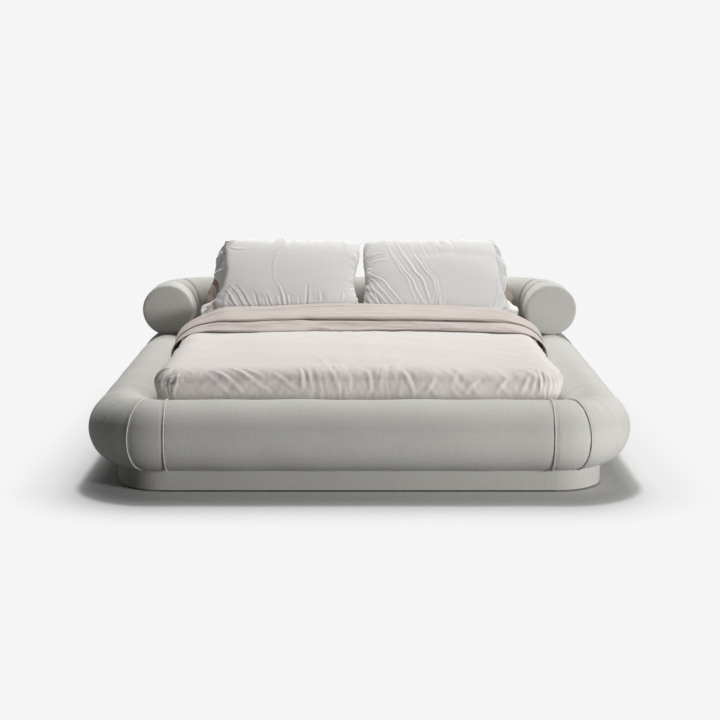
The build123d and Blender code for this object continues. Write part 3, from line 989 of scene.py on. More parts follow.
def line_carrier(name: str, lines: Sequence[Array]) -> Object:
    """A mesh of bare edges that a node tree turns into something.

    Args:
        name: the piece's name.
        lines: the points of each line.

    Returns:
        The new object.
    """
    points, edges = [], []
    for line in lines:
        edges += [(len(points) + i, len(points) + i + 1) for i in range(len(line) - 1)]
        points += line.tolist()
    mesh = bpy.data.meshes.new(name)
    mesh.from_pydata(points, edges, [])
    return link_object(name, mesh)


def new_tree(name: str, sizes: dict[str, float]) -> tuple[NodeTree, Node, dict]:
    """Start a geometry node tree.

    Args:
        name: the tree's name.
        sizes: the value of each named input, a whole number where the input counts.

    Returns:
        The tree, its input node, and each value by its input's identifier.
    """
    tree = bpy.data.node_groups.new(name, "GeometryNodeTree")
    for way in ("INPUT", "OUTPUT"):
        tree.interface.new_socket(name="Geometry", in_out=way, socket_type="NodeSocketGeometry")
    values = {}
    for label, value in sizes.items():
        kind = "NodeSocketInt" if isinstance(value, int) else "NodeSocketFloat"
        socket = tree.interface.new_socket(name=label, in_out="INPUT", socket_type=kind)
        socket.default_value = value
        values[socket.identifier] = value
    return tree, add_node(tree, "NodeGroupInput"), values


def end_tree(tree: NodeTree, geometry: Node, material: Material) -> None:
    """End a tree in real meshes with their material.

    Args:
        tree: the node tree.
        geometry: the node that gives the shape.
        material: its finish.
    """
    real = add_node(tree, "GeometryNodeRealizeInstances", {"Geometry": geometry})
    dressed = add_node(tree, "GeometryNodeSetMaterial", {"Geometry": real, "Material": material})
    add_node(tree, "NodeGroupOutput", {"Geometry": dressed})


def grown(carrier: Object, tree: NodeTree, values: dict) -> Object:
    """Run a tree on a carrier and keep the result as a plain mesh.

    Args:
        carrier: the object that takes the tree.
        tree: the node tree.
        values: each input's value by its identifier.

    Returns:
        The carrier, holding the finished mesh.
    """
    modifier = carrier.modifiers.new(tree.name, "NODES")
    modifier.node_group = tree
    for identifier, value in values.items():
        modifier[identifier] = value
    settle(carrier)
    return carrier


def piped_line(name: str, lines: Sequence[Array], radius: float, cord: Material) -> Object:
    """A round cord along each line.

    Args:
        name: the piece's name.
        lines: the points of each line.
        radius: the cord's.
        cord: the cord's finish.

    Returns:
        The finished cord.
    """
    tree, start, values = new_tree("PipedSeam", {"Cord radius": radius, "Sides": 10})
    curve = add_node(tree, "GeometryNodeMeshToCurve", {"Mesh": start})
    sizes = {"Radius": start.outputs["Cord radius"], "Resolution": start.outputs["Sides"]}
    profile = add_node(tree, "GeometryNodeCurvePrimitiveCircle", sizes)
    swept = {"Curve": curve, "Profile Curve": profile, "Fill Caps": True}
    tube = add_node(tree, "GeometryNodeCurveToMesh", swept)
    end_tree(tree, add_node(tree, "GeometryNodeSetShadeSmooth", {"Geometry": tube}), cord)
    return grown(line_carrier(name, lines), tree, values)


def stitched_line(name: str, lines: Sequence[Array], sizes: dict[str, float], thread: Material) -> Object:
    """A row of short stitches along each line.

    Args:
        name: the piece's name.
        lines: the points of each line.
        sizes: pitch, stitch length and thread radius.
        thread: the thread's finish.

    Returns:
        The finished stitches.
    """
    tree, start, values = new_tree("StitchRow", sizes)
    curve = add_node(tree, "GeometryNodeMeshToCurve", {"Mesh": start})
    steps = {"Curve": curve, "Length": start.outputs["Pitch"]}
    spaced = add_node(tree, "GeometryNodeResampleCurve", steps, mode="LENGTH")
    tangent = add_node(tree, "GeometryNodeInputTangent")
    turned = add_node(tree, "FunctionNodeAlignRotationToVector", {"Vector": tangent}, axis="Z")
    shape = {"Vertices": 5, "Radius": start.outputs["Thread radius"], "Depth": start.outputs["Stitch length"]}
    stitch = add_node(tree, "GeometryNodeMeshCylinder", shape)
    row = {"Points": spaced, "Instance": stitch, "Rotation": turned}
    end_tree(tree, add_node(tree, "GeometryNodeInstanceOnPoints", row), thread)
    return grown(line_carrier(name, lines), tree, values)


# Plinth


@dataclass
class PlinthSkirt:
    """The cloth round the set-back plinth, stretched over its boards."""

    lines: BedLines
    step: float = 0.03
    rows: int = 5

    def build(self, cloth: Material) -> None:
        """Make the skirt as one closed ring."""
        lines = self.lines
        parts = []
        for side, corner, flip in (
            (Side.FOOT, Corner.FOOT_RIGHT, 1), (Side.RIGHT, Corner.HEAD_RIGHT, 1), (Side.HEAD, Corner.HEAD_LEFT, -1),
            (Side.LEFT, Corner.FOOT_LEFT, -1),
        ):
            half = lines.bend_y if side.value[0] else lines.bend_x
            places = np.linspace(-half, half, round(2 * half / self.step) + 1)[:-1] * flip
            parts.append(Stations.run(lines, side, places))
            angles = np.linspace(0, 90, 12)[:-1]
            start_at_end = side in (Side.FOOT, Side.HEAD)
            parts.append(Stations.turn(lines, corner, 90 - angles if start_at_end else angles))
        origin = np.concatenate([part.origin for part in parts])
        out = np.concatenate([part.out for part in parts])
        ring = Stations(origin, out, np.zeros(len(origin)), 0.0)
        length = run_lengths(np.vstack([origin, origin[:1]]))
        heights = np.linspace(lines.plinth_low, lines.rail_flat, self.rows)
        profile = [(lines.plinth_out, z) for z in heights] + [(lines.board_out, z) for z in heights[::-1]]
        surface = Surface()
        lengths = np.concatenate([heights, 1 + heights, [2.0]])
        surface.grid(ring.place(*ring.repeated(profile)), length, lengths, close_rows=True, close_columns=True)
        piece = surface.finish("plinth_skirt")
        sharpen(piece)
        hand_over(piece, "bed_frame", ["plinth_cloth"], cloth)


# Bolster


@dataclass
class Bolster:
    """The round bolster on the head end: a back, two arms and their end discs.

    Args:
        lines: the bed's main lines.
        seam_angles: from the side round to each seam, in degrees.
    """

    lines: BedLines
    seam_angles: tuple[float, ...] = (13.0, 42.0)
    columns: int = 96
    step: float = 0.03
    seam_depth: float = 0.008
    seam_width: float = 0.0042
    pull_depth: float = 0.0018
    pull_width: float = 0.02
    softness: float = 0.0012
    disc_rounding: float = 0.014
    disc_crown: float = 0.003

    def seam_places(self) -> list[float]:
        """Distances along the centre line of the joint with the disc and of the two seams."""
        lines = self.lines
        start = lines.half_round - lines.bend_x - lines.quarter
        joint = start - lines.bend_y + lines.arm_front + lines.disc_depth
        return [joint] + [start + lines.bend * math.radians(angle) for angle in self.seam_angles]

    def outline(self) -> Array:
        """Angles round the section, from one edge of its flat to the other."""
        low = math.asin((self.lines.seat - self.lines.bolster_height) / self.lines.bolster_radius)
        return np.linspace(low, math.pi - low, self.columns)

    def rings(self, stations: Stations) -> Array:
        """Points of the cover's outside at each station."""
        lines = self.lines
        angle, along, squeeze = stations.rounds(self.outline(), lines.bolster_radius)
        relief = self.softness * Ripple(8, (0.4, 0.3)).over(along, angle * lines.bolster_radius)
        for place in self.seam_places():
            gap = (along - place) * squeeze
            relief = relief - self.seam_depth * bell(gap / self.seam_width)
            relief = relief - self.pull_depth * bell(gap / self.pull_width)
        radius = lines.bolster_radius + relief
        height = np.maximum(lines.bolster_height + radius * np.sin(angle), lines.seat)
        return stations.place(radius * np.cos(angle), height)

    def hollow(self, stations: Stations) -> Array:
        """Points of the square hollow that the frame fills, one for each column of the outside."""
        angle = self.outline()
        reach = self.lines.frame_half / np.maximum(np.abs(np.cos(angle)), np.abs(np.sin(angle)))
        section = np.stack([reach * np.cos(angle), self.lines.bolster_height + reach * np.sin(angle)], 1)
        return stations.place(*stations.repeated(section))

    def cover(self, name: str, runs: Sequence[Stations]) -> Object:
        """One closed length of the cover over one or more runs, with its hollow.

        Args:
            name: the piece's name.
            runs: the runs that it covers, in order.

        Returns:
            The piece.
        """
        surface = Surface()
        outside = np.concatenate([self.rings(run) for run in runs])
        inside = np.concatenate([self.hollow(run) for run in runs])
        along = np.concatenate([run.along for run in runs])
        lengths = np.append(self.outline() * self.lines.bolster_radius, 3.0)
        first = surface.grid(outside, along, lengths, close_columns=True)
        second = surface.grid(inside, along, lengths, close_columns=True)
        columns = self.columns
        for row in (0, len(outside) - 1):
            for j in range(columns):
                a, b = row * columns + j, row * columns + (j + 1) % columns
                surface.cap([first + a, first + b, second + b, second + a])
        piece = surface.finish(name)
        sharpen(piece)
        return piece

    def disc(self, name: str, x: int) -> Object:
        """A round end: a slightly crowned face, a soft rim and a flat back.

        Args:
            name: the piece's name.
            x: -1 on the left, 1 on the right.

        Returns:
            The piece.
        """
        lines, rounding = self.lines, self.disc_rounding
        profile = [(r, self.disc_crown * (1 - (r / lines.bolster_radius) ** 2)) for r in np.linspace(0.004, 0.124, 13)]
        for turn in np.linspace(0, math.pi / 2, 7):
            profile.append((lines.bolster_radius - rounding * (1 - math.sin(turn)), -rounding * (1 - math.cos(turn))))
        profile += [(lines.bolster_radius, -lines.disc_depth), (0.004, -lines.disc_depth)]
        angle = np.linspace(0, 2 * math.pi, self.columns + 1)[:-1]
        rings = []
        for radius, out in profile:
            height = np.maximum(lines.bolster_height + radius * np.sin(angle), lines.seat)
            across = x * lines.side_x + radius * np.cos(angle)
            rings.append(np.stack([across, np.full(len(angle), lines.arm_front - out), height], 1))
        surface = Surface()
        surface.tube(np.array(rings), np.zeros(len(profile) + 1), np.zeros(self.columns + 1))
        piece = surface.finish(name)
        flat_map(piece)
        sharpen(piece)
        return piece

    def build(self, cloth: Material) -> None:
        """Make the back, the arms and the discs."""
        lines = self.lines
        back = Stations.run(lines, Side.HEAD, marks(-lines.bend_x, lines.bend_x, self.step))
        piece = self.cover("bolster_cloth_back", [back])
        hand_over(piece, "bed_frame", ["bolster_back_cover"], cloth)
        start = lines.half_round - lines.bend_x - lines.quarter
        for side, corner, x in ((Side.LEFT, Corner.HEAD_LEFT, -1), (Side.RIGHT, Corner.HEAD_RIGHT, 1)):
            word = side.name.lower()
            close = [place - start + lines.bend_y for place in self.seam_places()]
            places = marks(lines.arm_front + lines.disc_depth, lines.bend_y, self.step, close)
            degrees = [math.degrees((place - start) / lines.bend) for place in self.seam_places()]
            turn = Stations.turn(lines, corner, marks(0, 90, 4.0, degrees, reach=4.0)[1:])
            piece = self.cover(f"bolster_cloth_arm_{word}", [Stations.run(lines, side, places), turn])
            hand_over(piece, "bed_frame", [f"bolster_arm_cover_{word}"], cloth)
            disc = self.disc(f"bolster_disc_{word}", x)
            hand_over(disc, "bed_frame", ["bolster_end_caps"], cloth)


def flat_map(piece: Object) -> None:
    """Map a piece by its X and Z, for a cloth stretched flat over a face.

    Args:
        piece: the piece, which has a map already.
    """
    layer = piece.data.uv_layers[0].data
    for loop in piece.data.loops:
        place = piece.data.vertices[loop.vertex_index].co
        layer[loop.index].uv = (place.x, place.z)


# Bedding


@dataclass(frozen=True)
class MattressLines:
    """Sizes of the made-up mattress, in metres.

    Args:
        half_width: of the block.
        half_length: of the block.
        base: height of its underside.
        shoulder: height of its top at the sides.
        crown: how much higher the middle is.
        reach: how far from the middle the crown runs out.
    """

    half_width: float
    half_length: float
    base: float
    shoulder: float
    crown: float
    reach: float = 0.82

    @classmethod
    def from_frame(cls) -> "MattressLines":
        """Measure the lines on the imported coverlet."""
        low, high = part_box("coverlet")
        crown = 0.011
        return cls(high.x, high.y, low.z, high.z - crown, crown)

    def top(self, x: Array) -> Array:
        """Height of the crowned top at X."""
        return self.shoulder + self.crown * (1 - smooth_step(np.abs(x) / self.reach))


@dataclass
class CoveredBlock:
    """A grid over the top, edges and sides of the mattress, with its unfolded coordinates.

    Args:
        lines: the mattress's sizes.
        profile: the edge's section, as (out, down) from where the top's flat part ends.
        start: how far in from the side the flat part ends.
        corner: radius of the flat part's corners.
        cells: cells across and along the top.
        rings: rings of the edge and side.
        lift: how far the surface lies over the mattress's own lines.
        rise: how much higher the top lies at the foot.
        squareness: how far the corners stand out past a round, as a power.
        corner_cells: cells along each side of a corner.
    """

    lines: MattressLines
    profile: Sequence[tuple[float, float]]
    start: float
    corner: float
    cells: tuple[int, int]
    rings: int
    lift: float = 0.0
    rise: float = 0.0
    squareness: float = 0.0
    corner_cells: int = 5

    def top_points(self) -> tuple[Array, Array]:
        """X and Y of the top's grid, its corners drawn round."""
        half_x, half_y = self.lines.half_width - self.start, self.lines.half_length - self.start
        across = half_x * denser_ends(self.cells[0], self.corner_cells, self.corner / half_x)
        along = half_y * denser_ends(self.cells[1], self.corner_cells, self.corner / half_y)
        grid_x, grid_y = np.meshgrid(across, along, indexing="ij")
        share_x = np.clip((np.abs(grid_x) - half_x + self.corner) / self.corner, 0, 1)
        share_y = np.clip((np.abs(grid_y) - half_y + self.corner) / self.corner, 0, 1)
        x = grid_x - np.sign(grid_x) * self.corner * share_x * (1 - np.sqrt(1 - share_y**2 / 2))
        y = grid_y - np.sign(grid_y) * self.corner * share_y * (1 - np.sqrt(1 - share_x**2 / 2))
        return x, y

    def build(self) -> tuple[Array, Array, list, Array]:
        """Lay out the points.

        Returns:
            Points, unfolded coordinates, faces, and the order of the lowest ring.
        """
        lines = self.lines
        x, y = self.top_points()
        columns, rows = x.shape
        level = lines.top(x) + self.lift + self.rise * smooth_step((-y - 0.35) / 0.65)
        points = [np.stack([x, y, level], -1).reshape(-1, 3)]
        unfolded = [np.stack([x, y], -1).reshape(-1, 2)]
        faces = [
            (i * rows + j, (i + 1) * rows + j, (i + 1) * rows + j + 1, i * rows + j + 1)
            for i in range(columns - 1)
            for j in range(rows - 1)
        ]
        order = [(i, 0) for i in range(columns - 1)]
        order += [(columns - 1, j) for j in range(rows - 1)]
        order += [(i, rows - 1) for i in range(columns - 1, 0, -1)]
        order += [(0, j) for j in range(rows - 1, 0, -1)]
        previous = np.array([i * rows + j for i, j in order])
        edge = points[0][previous]
        inner_x = lines.half_width - self.start - self.corner
        inner_y = lines.half_length - self.start - self.corner
        centre = np.stack([np.clip(edge[:, 0], -inner_x, inner_x), np.clip(edge[:, 1], -inner_y, inner_y)], 1)
        out = edge[:, :2] - centre
        out /= np.maximum(np.linalg.norm(out, axis=1, keepdims=True), 1e-9)
        stretch = (1 / np.maximum(np.abs(out).max(axis=1, keepdims=True), 0.7)) ** self.squareness
        section = rounded_route(np.array(self.profile), self.rings + 1)
        length = np.linalg.norm(section[-1] - section[-2]) * np.arange(self.rings + 1)
        count = len(points[0])
        for row in range(1, self.rings + 1):
            reach, down = section[row]
            points.append(np.column_stack([edge[:, :2] + out * reach * stretch, edge[:, 2] - down]))
            unfolded.append(edge[:, :2] + out * length[row])
            new = np.arange(count, count + len(order))
            for k in range(len(order)):
                far = (k + 1) % len(order)
                faces.append((previous[k], new[k], new[far], previous[far]))
            previous = new
            count += len(order)
        return np.concatenate(points), np.concatenate(unfolded), faces, previous


def denser_ends(steps: int, close: int, share: float) -> Array:
    """Places from -1 to 1, with some of the steps close together in a share at each end."""
    ends = np.linspace(1 - share, 1, close + 1)[1:]
    return np.concatenate([-ends[::-1], np.linspace(share - 1, 1 - share, steps - 2 * close + 1), ends])


def surface_normals(points: Array, faces: Sequence) -> Array:
    """The outward direction at each point, averaged over its faces and turned upwards or outwards.

    Args:
        points: the surface's points.
        faces: its faces, of four points each.

    Returns:
        One direction for each point.
    """
    quads = np.array(faces)
    cross = np.cross(points[quads[:, 2]] - points[quads[:, 0]], points[quads[:, 3]] - points[quads[:, 1]])
    total = np.zeros_like(points)
    for corner in range(4):
        np.add.at(total, quads[:, corner], cross)
    total /= np.maximum(np.linalg.norm(total, axis=1, keepdims=True), 1e-12)
    return total if total[:, 2].sum() > 0 else -total


@dataclass
class Coverlet:
    """The cream coverlet, laid over the mattress and tucked in all round."""

    lines: MattressLines
    thickness: float = 0.003
    start: float = 0.078
    corner: float = 0.035
    puff: float = 0.006
    foot_rise: float = 0.012
    soft_height: float = 0.003
    foot_height: float = 0.0012
    fold_gain: float = 0.95
    fold_narrowing: float = 0.8
    relief_limits: tuple[float, float] = (-0.015, 0.012)
    squareness: float = 0.6
    corner_cells: int = 20
    cells: tuple[int, int] = (224, 106)
    rings: int = 34

    def profile(self) -> list[tuple[float, float]]:
        """The edge's section: a soft roll that stands out over the rail, then the tuck."""
        return [
            (0.0, 0.0), (0.03, 0.003), (0.054, 0.011), (0.072, 0.0225), (0.085, 0.037), (0.0925, 0.053),
            (0.094, 0.066), (0.092, 0.082), (0.088, 0.1), (0.084, 0.12), (0.0805, 0.145), (0.0785, 0.18),
            (0.078, 0.235),
        ]

    def folds(self) -> list[Fold]:
        """The folds that show on the foot face and its corners, chosen from the photo."""
        slants = [
            (-0.678, -0.961, -0.574, -1.019, -0.52, -1.086, 0.01, 0.0075),
            (-0.675, -1.006, -0.622, -1.05, -0.58, -1.089, 0.01, 0.0045),
            (-0.574, -0.958, -0.515, -1.001, -0.401, -1.086, 0.011, 0.0085),
            (-0.545, -0.954, -0.485, -0.984, -0.437, -1.006, 0.009, 0.005),
            (-0.376, -1.001, -0.329, -1.041, -0.276, -1.085, 0.011, 0.0065),
            (-0.27, -0.966, -0.246, -1.001, -0.258, -1.083, 0.011, 0.008),
            (-0.234, -0.978, -0.222, -1.03, -0.21, -1.083, 0.011, 0.007),
            (-0.127, -0.972, -0.109, -1.03, -0.091, -1.085, 0.011, 0.007),
            (-0.05, -1.000, -0.034, -1.045, -0.046, -1.088, 0.01, 0.0045),
            (0.03, -0.979, 0.05, -1.024, 0.047, -1.088, 0.011, 0.0075),
            (0.187, -0.985, 0.22, -1.03, 0.239, -1.088, 0.012, 0.0075),
            (0.343, -1.005, 0.318, -1.05, 0.298, -1.088, 0.011, 0.007),
            (0.448, -0.966, 0.416, -1.017, 0.419, -1.054, 0.013, 0.0045),
            (0.54, -1.011, 0.5, -1.05, 0.468, -1.088, 0.011, 0.0075),
            (0.67, -1.005, 0.638, -1.037, 0.604, -1.088, 0.011, 0.0075),
            (0.76, -0.998, 0.736, -1.041, 0.722, -1.088, 0.01, 0.007),
            (0.781, -1.005, 0.772, -1.05, 0.768, -1.088, 0.009, 0.006),
            (0.808, -0.998, 0.812, -1.045, 0.813, -1.088, 0.009, 0.0055),
            (0.696, -0.966, 0.768, -0.953, 0.8, -0.969, 0.009, 0.006),
            (0.748, -0.995, 0.776, -0.985, 0.8, -0.963, 0.008, 0.006),
            (-0.771, -0.966, -0.756, -0.975, -0.741, -0.984, 0.009, 0.0045),
            (-0.86, -1.000, -0.83, -1.01, -0.8, -0.998, 0.011, 0.006),
            (-0.87, -1.035, -0.835, -1.045, -0.79, -1.03, 0.011, 0.006),
        ]
        return fold_rows(slants, self.fold_narrowing, self.fold_gain) + self.pleats()

    def pleats(self) -> list[Fold]:
        """The tucked pleats at the four corners: a deep one down each corner and small ones beside it."""
        found = []
        middle = np.array([self.lines.half_width, self.lines.half_length]) - self.start - self.corner
        for sign_x in (-1, 1):
            for sign_y in (-1, 1):
                for degrees, near, far, width, height in (
                    (24, 0.075, 0.27, 0.0055, 0.013), (33, 0.08, 0.27, 0.005, -0.015),
                    (47, 0.07, 0.19, 0.006, 0.005), (62, 0.075, 0.22, 0.006, -0.005),
                    (76, 0.085, 0.16, 0.006, 0.004),
                ):
                    turned = math.radians(degrees + (0 if sign_x > 0 else 4 * math.sin(degrees)))
                    way = np.array([sign_x * math.cos(turned), sign_y * math.sin(turned)])
                    line = [tuple(np.array([sign_x, sign_y]) * middle + way * r) for r in (near, (near + far) / 2, far)]
                    found.append(Fold(*line, width, height * sign_x * sign_y))
        return found

    def side_folds(self) -> list[Fold]:
        """Seeded folds down the two long sides and the head, like those at the foot."""
        random = np.random.default_rng(21)
        found = []
        for sign in (-1, 1):
            for _ in range(16):
                y = random.uniform(-0.9, 0.1)
                lean = random.uniform(-0.08, 0.08)
                start = (sign * random.uniform(0.86, 0.9), y)
                middle = (sign * 0.95, y + lean * 0.4)
                end = (sign * 1.02, y + lean)
                found.append(Fold(start, middle, end, random.uniform(0.009, 0.013), random.uniform(0.004, 0.008)))
        for _ in range(14):
            x = random.uniform(-0.8, 0.8)
            lean = random.uniform(-0.09, 0.09)
            found.append(Fold((x, 0.96), (x + lean * 0.4, 1.02), (x + lean, 1.1), random.uniform(0.009, 0.014), 0.007))
        return found

    def relief(self, unfolded: Array) -> Array:
        """How far the cloth stands out, at points of the unfolded sheet.

        Args:
            unfolded: the points.

        Returns:
            The height at each point.
        """
        total = self.soft_height * Ripple(5, (0.5, 0.28)).at(unfolded)
        side = np.sign(unfolded[:, 0]) * smooth_step(np.abs(unfolded[:, 0]) / 0.3)
        slanting = np.stack([unfolded[:, 0] + 0.9 * side * unfolded[:, 1], unfolded[:, 1]], 1)
        total += 0.0012 * Ripple(6, (0.12, 0.45)).at(slanting)
        near_foot = smooth_step((-unfolded[:, 1] - 0.8) / 0.22)
        total += near_foot * self.foot_height * Ripple(12, (0.06, 0.22)).at(slanting)
        total += near_foot * 0.0007 * Ripple(13, (0.028, 0.07)).at(unfolded)
        return total + folded(unfolded, self.folds() + self.side_folds())

    def build(self, cloth: Material) -> None:
        """Make the coverlet."""
        lines = self.lines
        block = CoveredBlock(
            lines, self.profile(), self.start, self.corner, self.cells, self.rings, self.puff,
            self.foot_rise, self.squareness, self.corner_cells,
        )
        points, unfolded, faces, _ = block.build()
        normals = surface_normals(points, faces)
        tucked = smooth_step((points[:, 2] - lines.base - 0.04) / 0.06)
        relief = np.clip(self.relief(unfolded), *self.relief_limits) * tucked
        points = points + normals * (relief - 0.001)[:, None]
        piece = new_piece("coverlet_cloth", points, faces, corner_maps(unfolded, faces))
        thicken(piece, self.thickness)
        hand_over(piece, "mattress", ["coverlet"], cloth)


@dataclass
class Mattress:
    """The mattress itself, under the coverlet: a quilted block with a corded lower edge."""

    lines: MattressLines
    inset: float = 0.012
    quilt_pitch: float = 0.12
    quilt_depth: float = 0.003
    cord_radius: float = 0.004
    edge: float = 0.035

    def profile(self) -> list[tuple[float, float]]:
        """The edge's section: rounded at the top, straight down to a small roll at the base."""
        turns = np.linspace(0, math.pi / 2, 6)
        found = [(self.edge * math.sin(turn), self.edge * (1 - math.cos(turn))) for turn in turns]
        depth = self.lines.shoulder - self.lines.base - self.inset
        return found + [(self.edge, depth * share) for share in (0.35, 0.55, 0.75, 0.97)]

    def build(self, cloth: Material) -> None:
        """Make the block and the cord round its lower edge."""
        block = CoveredBlock(self.lines, self.profile(), self.edge + self.inset, 0.03, (60, 60), 16, -self.inset)
        points, unfolded, faces, ring = block.build()
        quilting = np.abs(np.sin(math.pi * unfolded[:, 0] / self.quilt_pitch)) ** 0.5
        quilting *= np.abs(np.sin(math.pi * unfolded[:, 1] / self.quilt_pitch)) ** 0.5
        held = smooth_step((points[:, 2] - self.lines.base) / 0.05)
        normals = surface_normals(points, faces)
        points = points - normals * (self.quilt_depth * (1 - quilting) * held)[:, None]
        faces.append(tuple(ring))
        piece = new_piece("mattress_ticking_block", points, faces, corner_maps(unfolded, faces))
        hand_over(piece, "mattress", ["mattress"], cloth)
        low = points[ring].copy()
        low[:, 2] = points[ring, 2].mean() + self.cord_radius
        cord = piped_line("mattress_edge_cord", [np.vstack([low, low[:1]])], self.cord_radius, cloth)
        hand_over(cord, "mattress", [])


@dataclass
class FoldedBlanket:
    """The blanket, folded back on itself across the head half of the bed."""

    lines: MattressLines
    thickness: float = 0.0028
    across_steps: int = 150
    hidden_steps: int = 45
    shown_steps: int = 215
    hidden_share: float = 0.33
    flat_half: float = 0.8
    side_thinning: float = 0.62
    route_points: int = 1200

    def route(self, closed: bool) -> Array:
        """The blanket's path from its hidden end to its top, as Y and height over the coverlet.

        Args:
            closed: whether the upper layer stands on the lower one, or turns under with a gap.

        Returns:
            A fine line, its points matched between the two.
        """
        step_points = [
            (0.415, 0.0262), (0.428, 0.0272), (0.433, 0.0282), (0.433, 0.0295), (0.43, 0.0315), (0.426, 0.0335),
            (0.423, 0.0362), (0.422, 0.04),
        ]
        points = np.array(
            [
                (0.69, 0.004), (0.52, 0.004), (0.32, 0.004), (0.212, 0.005), (0.184, 0.0105), (0.192, 0.02),
                (0.26, 0.024), (0.34, 0.0265), (0.42, 0.0255), (0.48, 0.024), (0.56, 0.024), (0.585, 0.0275),
                (0.56, 0.0312), (0.475, 0.0298), (0.436, 0.0315), (0.42, 0.039), (0.428, 0.047), (0.462, 0.0535),
                (0.525, 0.064), (0.58, 0.0765), (0.632, 0.083), (0.676, 0.074), (0.7, 0.048), (0.704, 0.012),
            ]
        )
        measure = dense_line(points)
        if closed:
            points[8:16] = step_points
        return evenly(dense_line(points), self.route_points, measure)

    def side_section(self) -> Array:
        """The edge's section past the flat part, as out and down: over the side and onto the rail."""
        points = [
            (0.0, 0.0), (0.05, 0.005), (0.09, 0.018), (0.12, 0.036), (0.142, 0.054), (0.157, 0.074), (0.164, 0.094),
            (0.165, 0.108),
        ]
        return rounded_route(np.array(points), 60)

    def across(self, share: Array) -> tuple[Array, Array, Array, Array]:
        """The line across the bed that the blanket lies on.

        Args:
            share: from -1 at the left hem to 1 at the right hem.

        Returns:
            X, Z, and the outward direction's X and Z.
        """
        section = self.side_section()
        length = run_lengths(section)
        reach = np.abs(share) * (self.flat_half + length[-1])
        past = np.clip(reach - self.flat_half, 0, None)
        out, down = (np.interp(past, length, section[:, axis]) for axis in (0, 1))
        slope = np.gradient(section, axis=0)
        slope /= np.linalg.norm(slope, axis=1, keepdims=True)
        turn_x, turn_z = (np.interp(past, length, slope[:, axis]) for axis in (0, 1))
        level = self.lines.top(np.minimum(reach, self.flat_half))
        sign = np.sign(share)
        flat_x = np.minimum(reach, self.flat_half)
        return sign * (flat_x + out), level - down, sign * turn_z, np.maximum(turn_x, 0.15)

    def build(self, cloth: Material) -> None:
        """Make the folded blanket."""
        fine, shut = self.route(False), self.route(True)
        cut, last = int(self.hidden_share * self.route_points), self.route_points - 1
        picks = np.concatenate(
            [np.linspace(0, cut, self.hidden_steps, endpoint=False), np.linspace(cut, last, self.shown_steps)]
        ).astype(int)
        whole = float(np.linalg.norm(np.diff(fine, axis=0), axis=1).sum())
        share = np.linspace(-1, 1, self.across_steps)
        t, s = np.meshgrid(picks / last, share, indexing="ij")
        hem = 1 - 0.01 * smooth_step((0.55 - t) / 0.4) + 0.006 * np.sin(9 * t + 3 * s)
        x, z, out_x, out_z = self.across(np.clip(s * hem, -1, 1))
        gap = np.clip(bell((x - 0.03) / 0.42) * 0.9 + 0.12 * np.sin(11 * x + 2), 0, 1)
        base_y = shut[picks, :1] * (1 - gap) + fine[picks, :1] * gap
        base_h = shut[picks, 1:] * (1 - gap) + fine[picks, 1:] * gap
        run = t * whole
        wander = 0.011 * Ripple(31, (0.6, 0.7)).over(x, run)
        drop = smooth_step((np.abs(x) - 0.76) / 0.1)
        wander += 0.004 * (1 - drop) * Ripple(32, (0.16, 0.5)).over(x, run)
        layer = smooth_step((t - 0.22) / 0.12)
        long_folds = Ripple(33, (1.3, 0.07)).over(x, run)
        fine_folds = Ripple(34, (0.7, 0.024)).over(x, run)
        band = bell((t - 0.43) / 0.08) * (1 - drop)
        height = base_h + layer * (1 + 1.1 * band) * (0.0034 * long_folds + 0.0018 * fine_folds)
        points = np.stack([x.ravel(), run.ravel()], 1)
        height += layer * folded(points, self.crumples(whole)).reshape(t.shape)
        height = np.maximum(height, 0.004)
        edge = smooth_step((np.abs(x) - self.flat_half + 0.1) / 0.2)
        height = 0.004 + (height - 0.004) * (1 - self.side_thinning * edge)
        grid = np.stack([x + out_x * height, base_y + wander, z + out_z * height], -1)
        surface = Surface()
        width = self.flat_half + float(np.linalg.norm(np.diff(self.side_section(), axis=0), axis=1).sum())
        surface.grid(grid, picks / last * whole, share * width)
        piece = surface.finish("blanket_cloth")
        thicken(piece, self.thickness)
        hand_over(piece, "blanket", ["blanket"], cloth)

    def crumples(self, length: float) -> list[Fold]:
        """Short crumples near the front folds, as X and distance along the blanket.

        Args:
            length: the blanket's whole length.

        Returns:
            The folds.
        """
        places = [
            (-0.26, 0.37, -0.2, 0.35, -0.13, 0.38, 0.009, 0.01), (-0.1, 0.4, 0.1, 0.38, 0.3, 0.41, 0.012, 0.007),
            (0.42, 0.36, 0.48, 0.38, 0.56, 0.36, 0.009, 0.01), (0.58, 0.38, 0.64, 0.36, 0.72, 0.39, 0.009, 0.009),
            (-0.7, 0.42, -0.5, 0.4, -0.3, 0.43, 0.012, 0.009),
        ]
        return [Fold((a, b * length), (c, d * length), (e, f * length), w, h) for a, b, c, d, e, f, w, h in places]


def dense_line(points: Array) -> Array:
    """A smooth line through points, with the same number of steps between each two.

    Args:
        points: the points that it runs through.

    Returns:
        The line's points.
    """
    ends = np.vstack([2 * points[0] - points[1], points, 2 * points[-1] - points[-2]])
    dense = []
    for k in range(len(points) - 1):
        a, b, c, d = ends[k : k + 4]
        for s in np.linspace(0, 1, 16, endpoint=False):
            dense.append(
                0.5 * (2 * b + (c - a) * s + (2 * a - 5 * b + 4 * c - d) * s**2 + (3 * b - a - 3 * c + d) * s**3)
            )
    return np.array(dense + [points[-1]])


def evenly(line: Array, count: int, measure: Array) -> Array:
    """Points of a line, evenly stepped along the length of another that is matched to it.

    Args:
        line: the line.
        count: how many points are wanted.
        measure: the other line.

    Returns:
        The points.
    """
    length = run_lengths(measure)
    even = np.linspace(0, length[-1], count)
    return np.stack([np.interp(even, length, line[:, axis]) for axis in (0, 1)], 1)


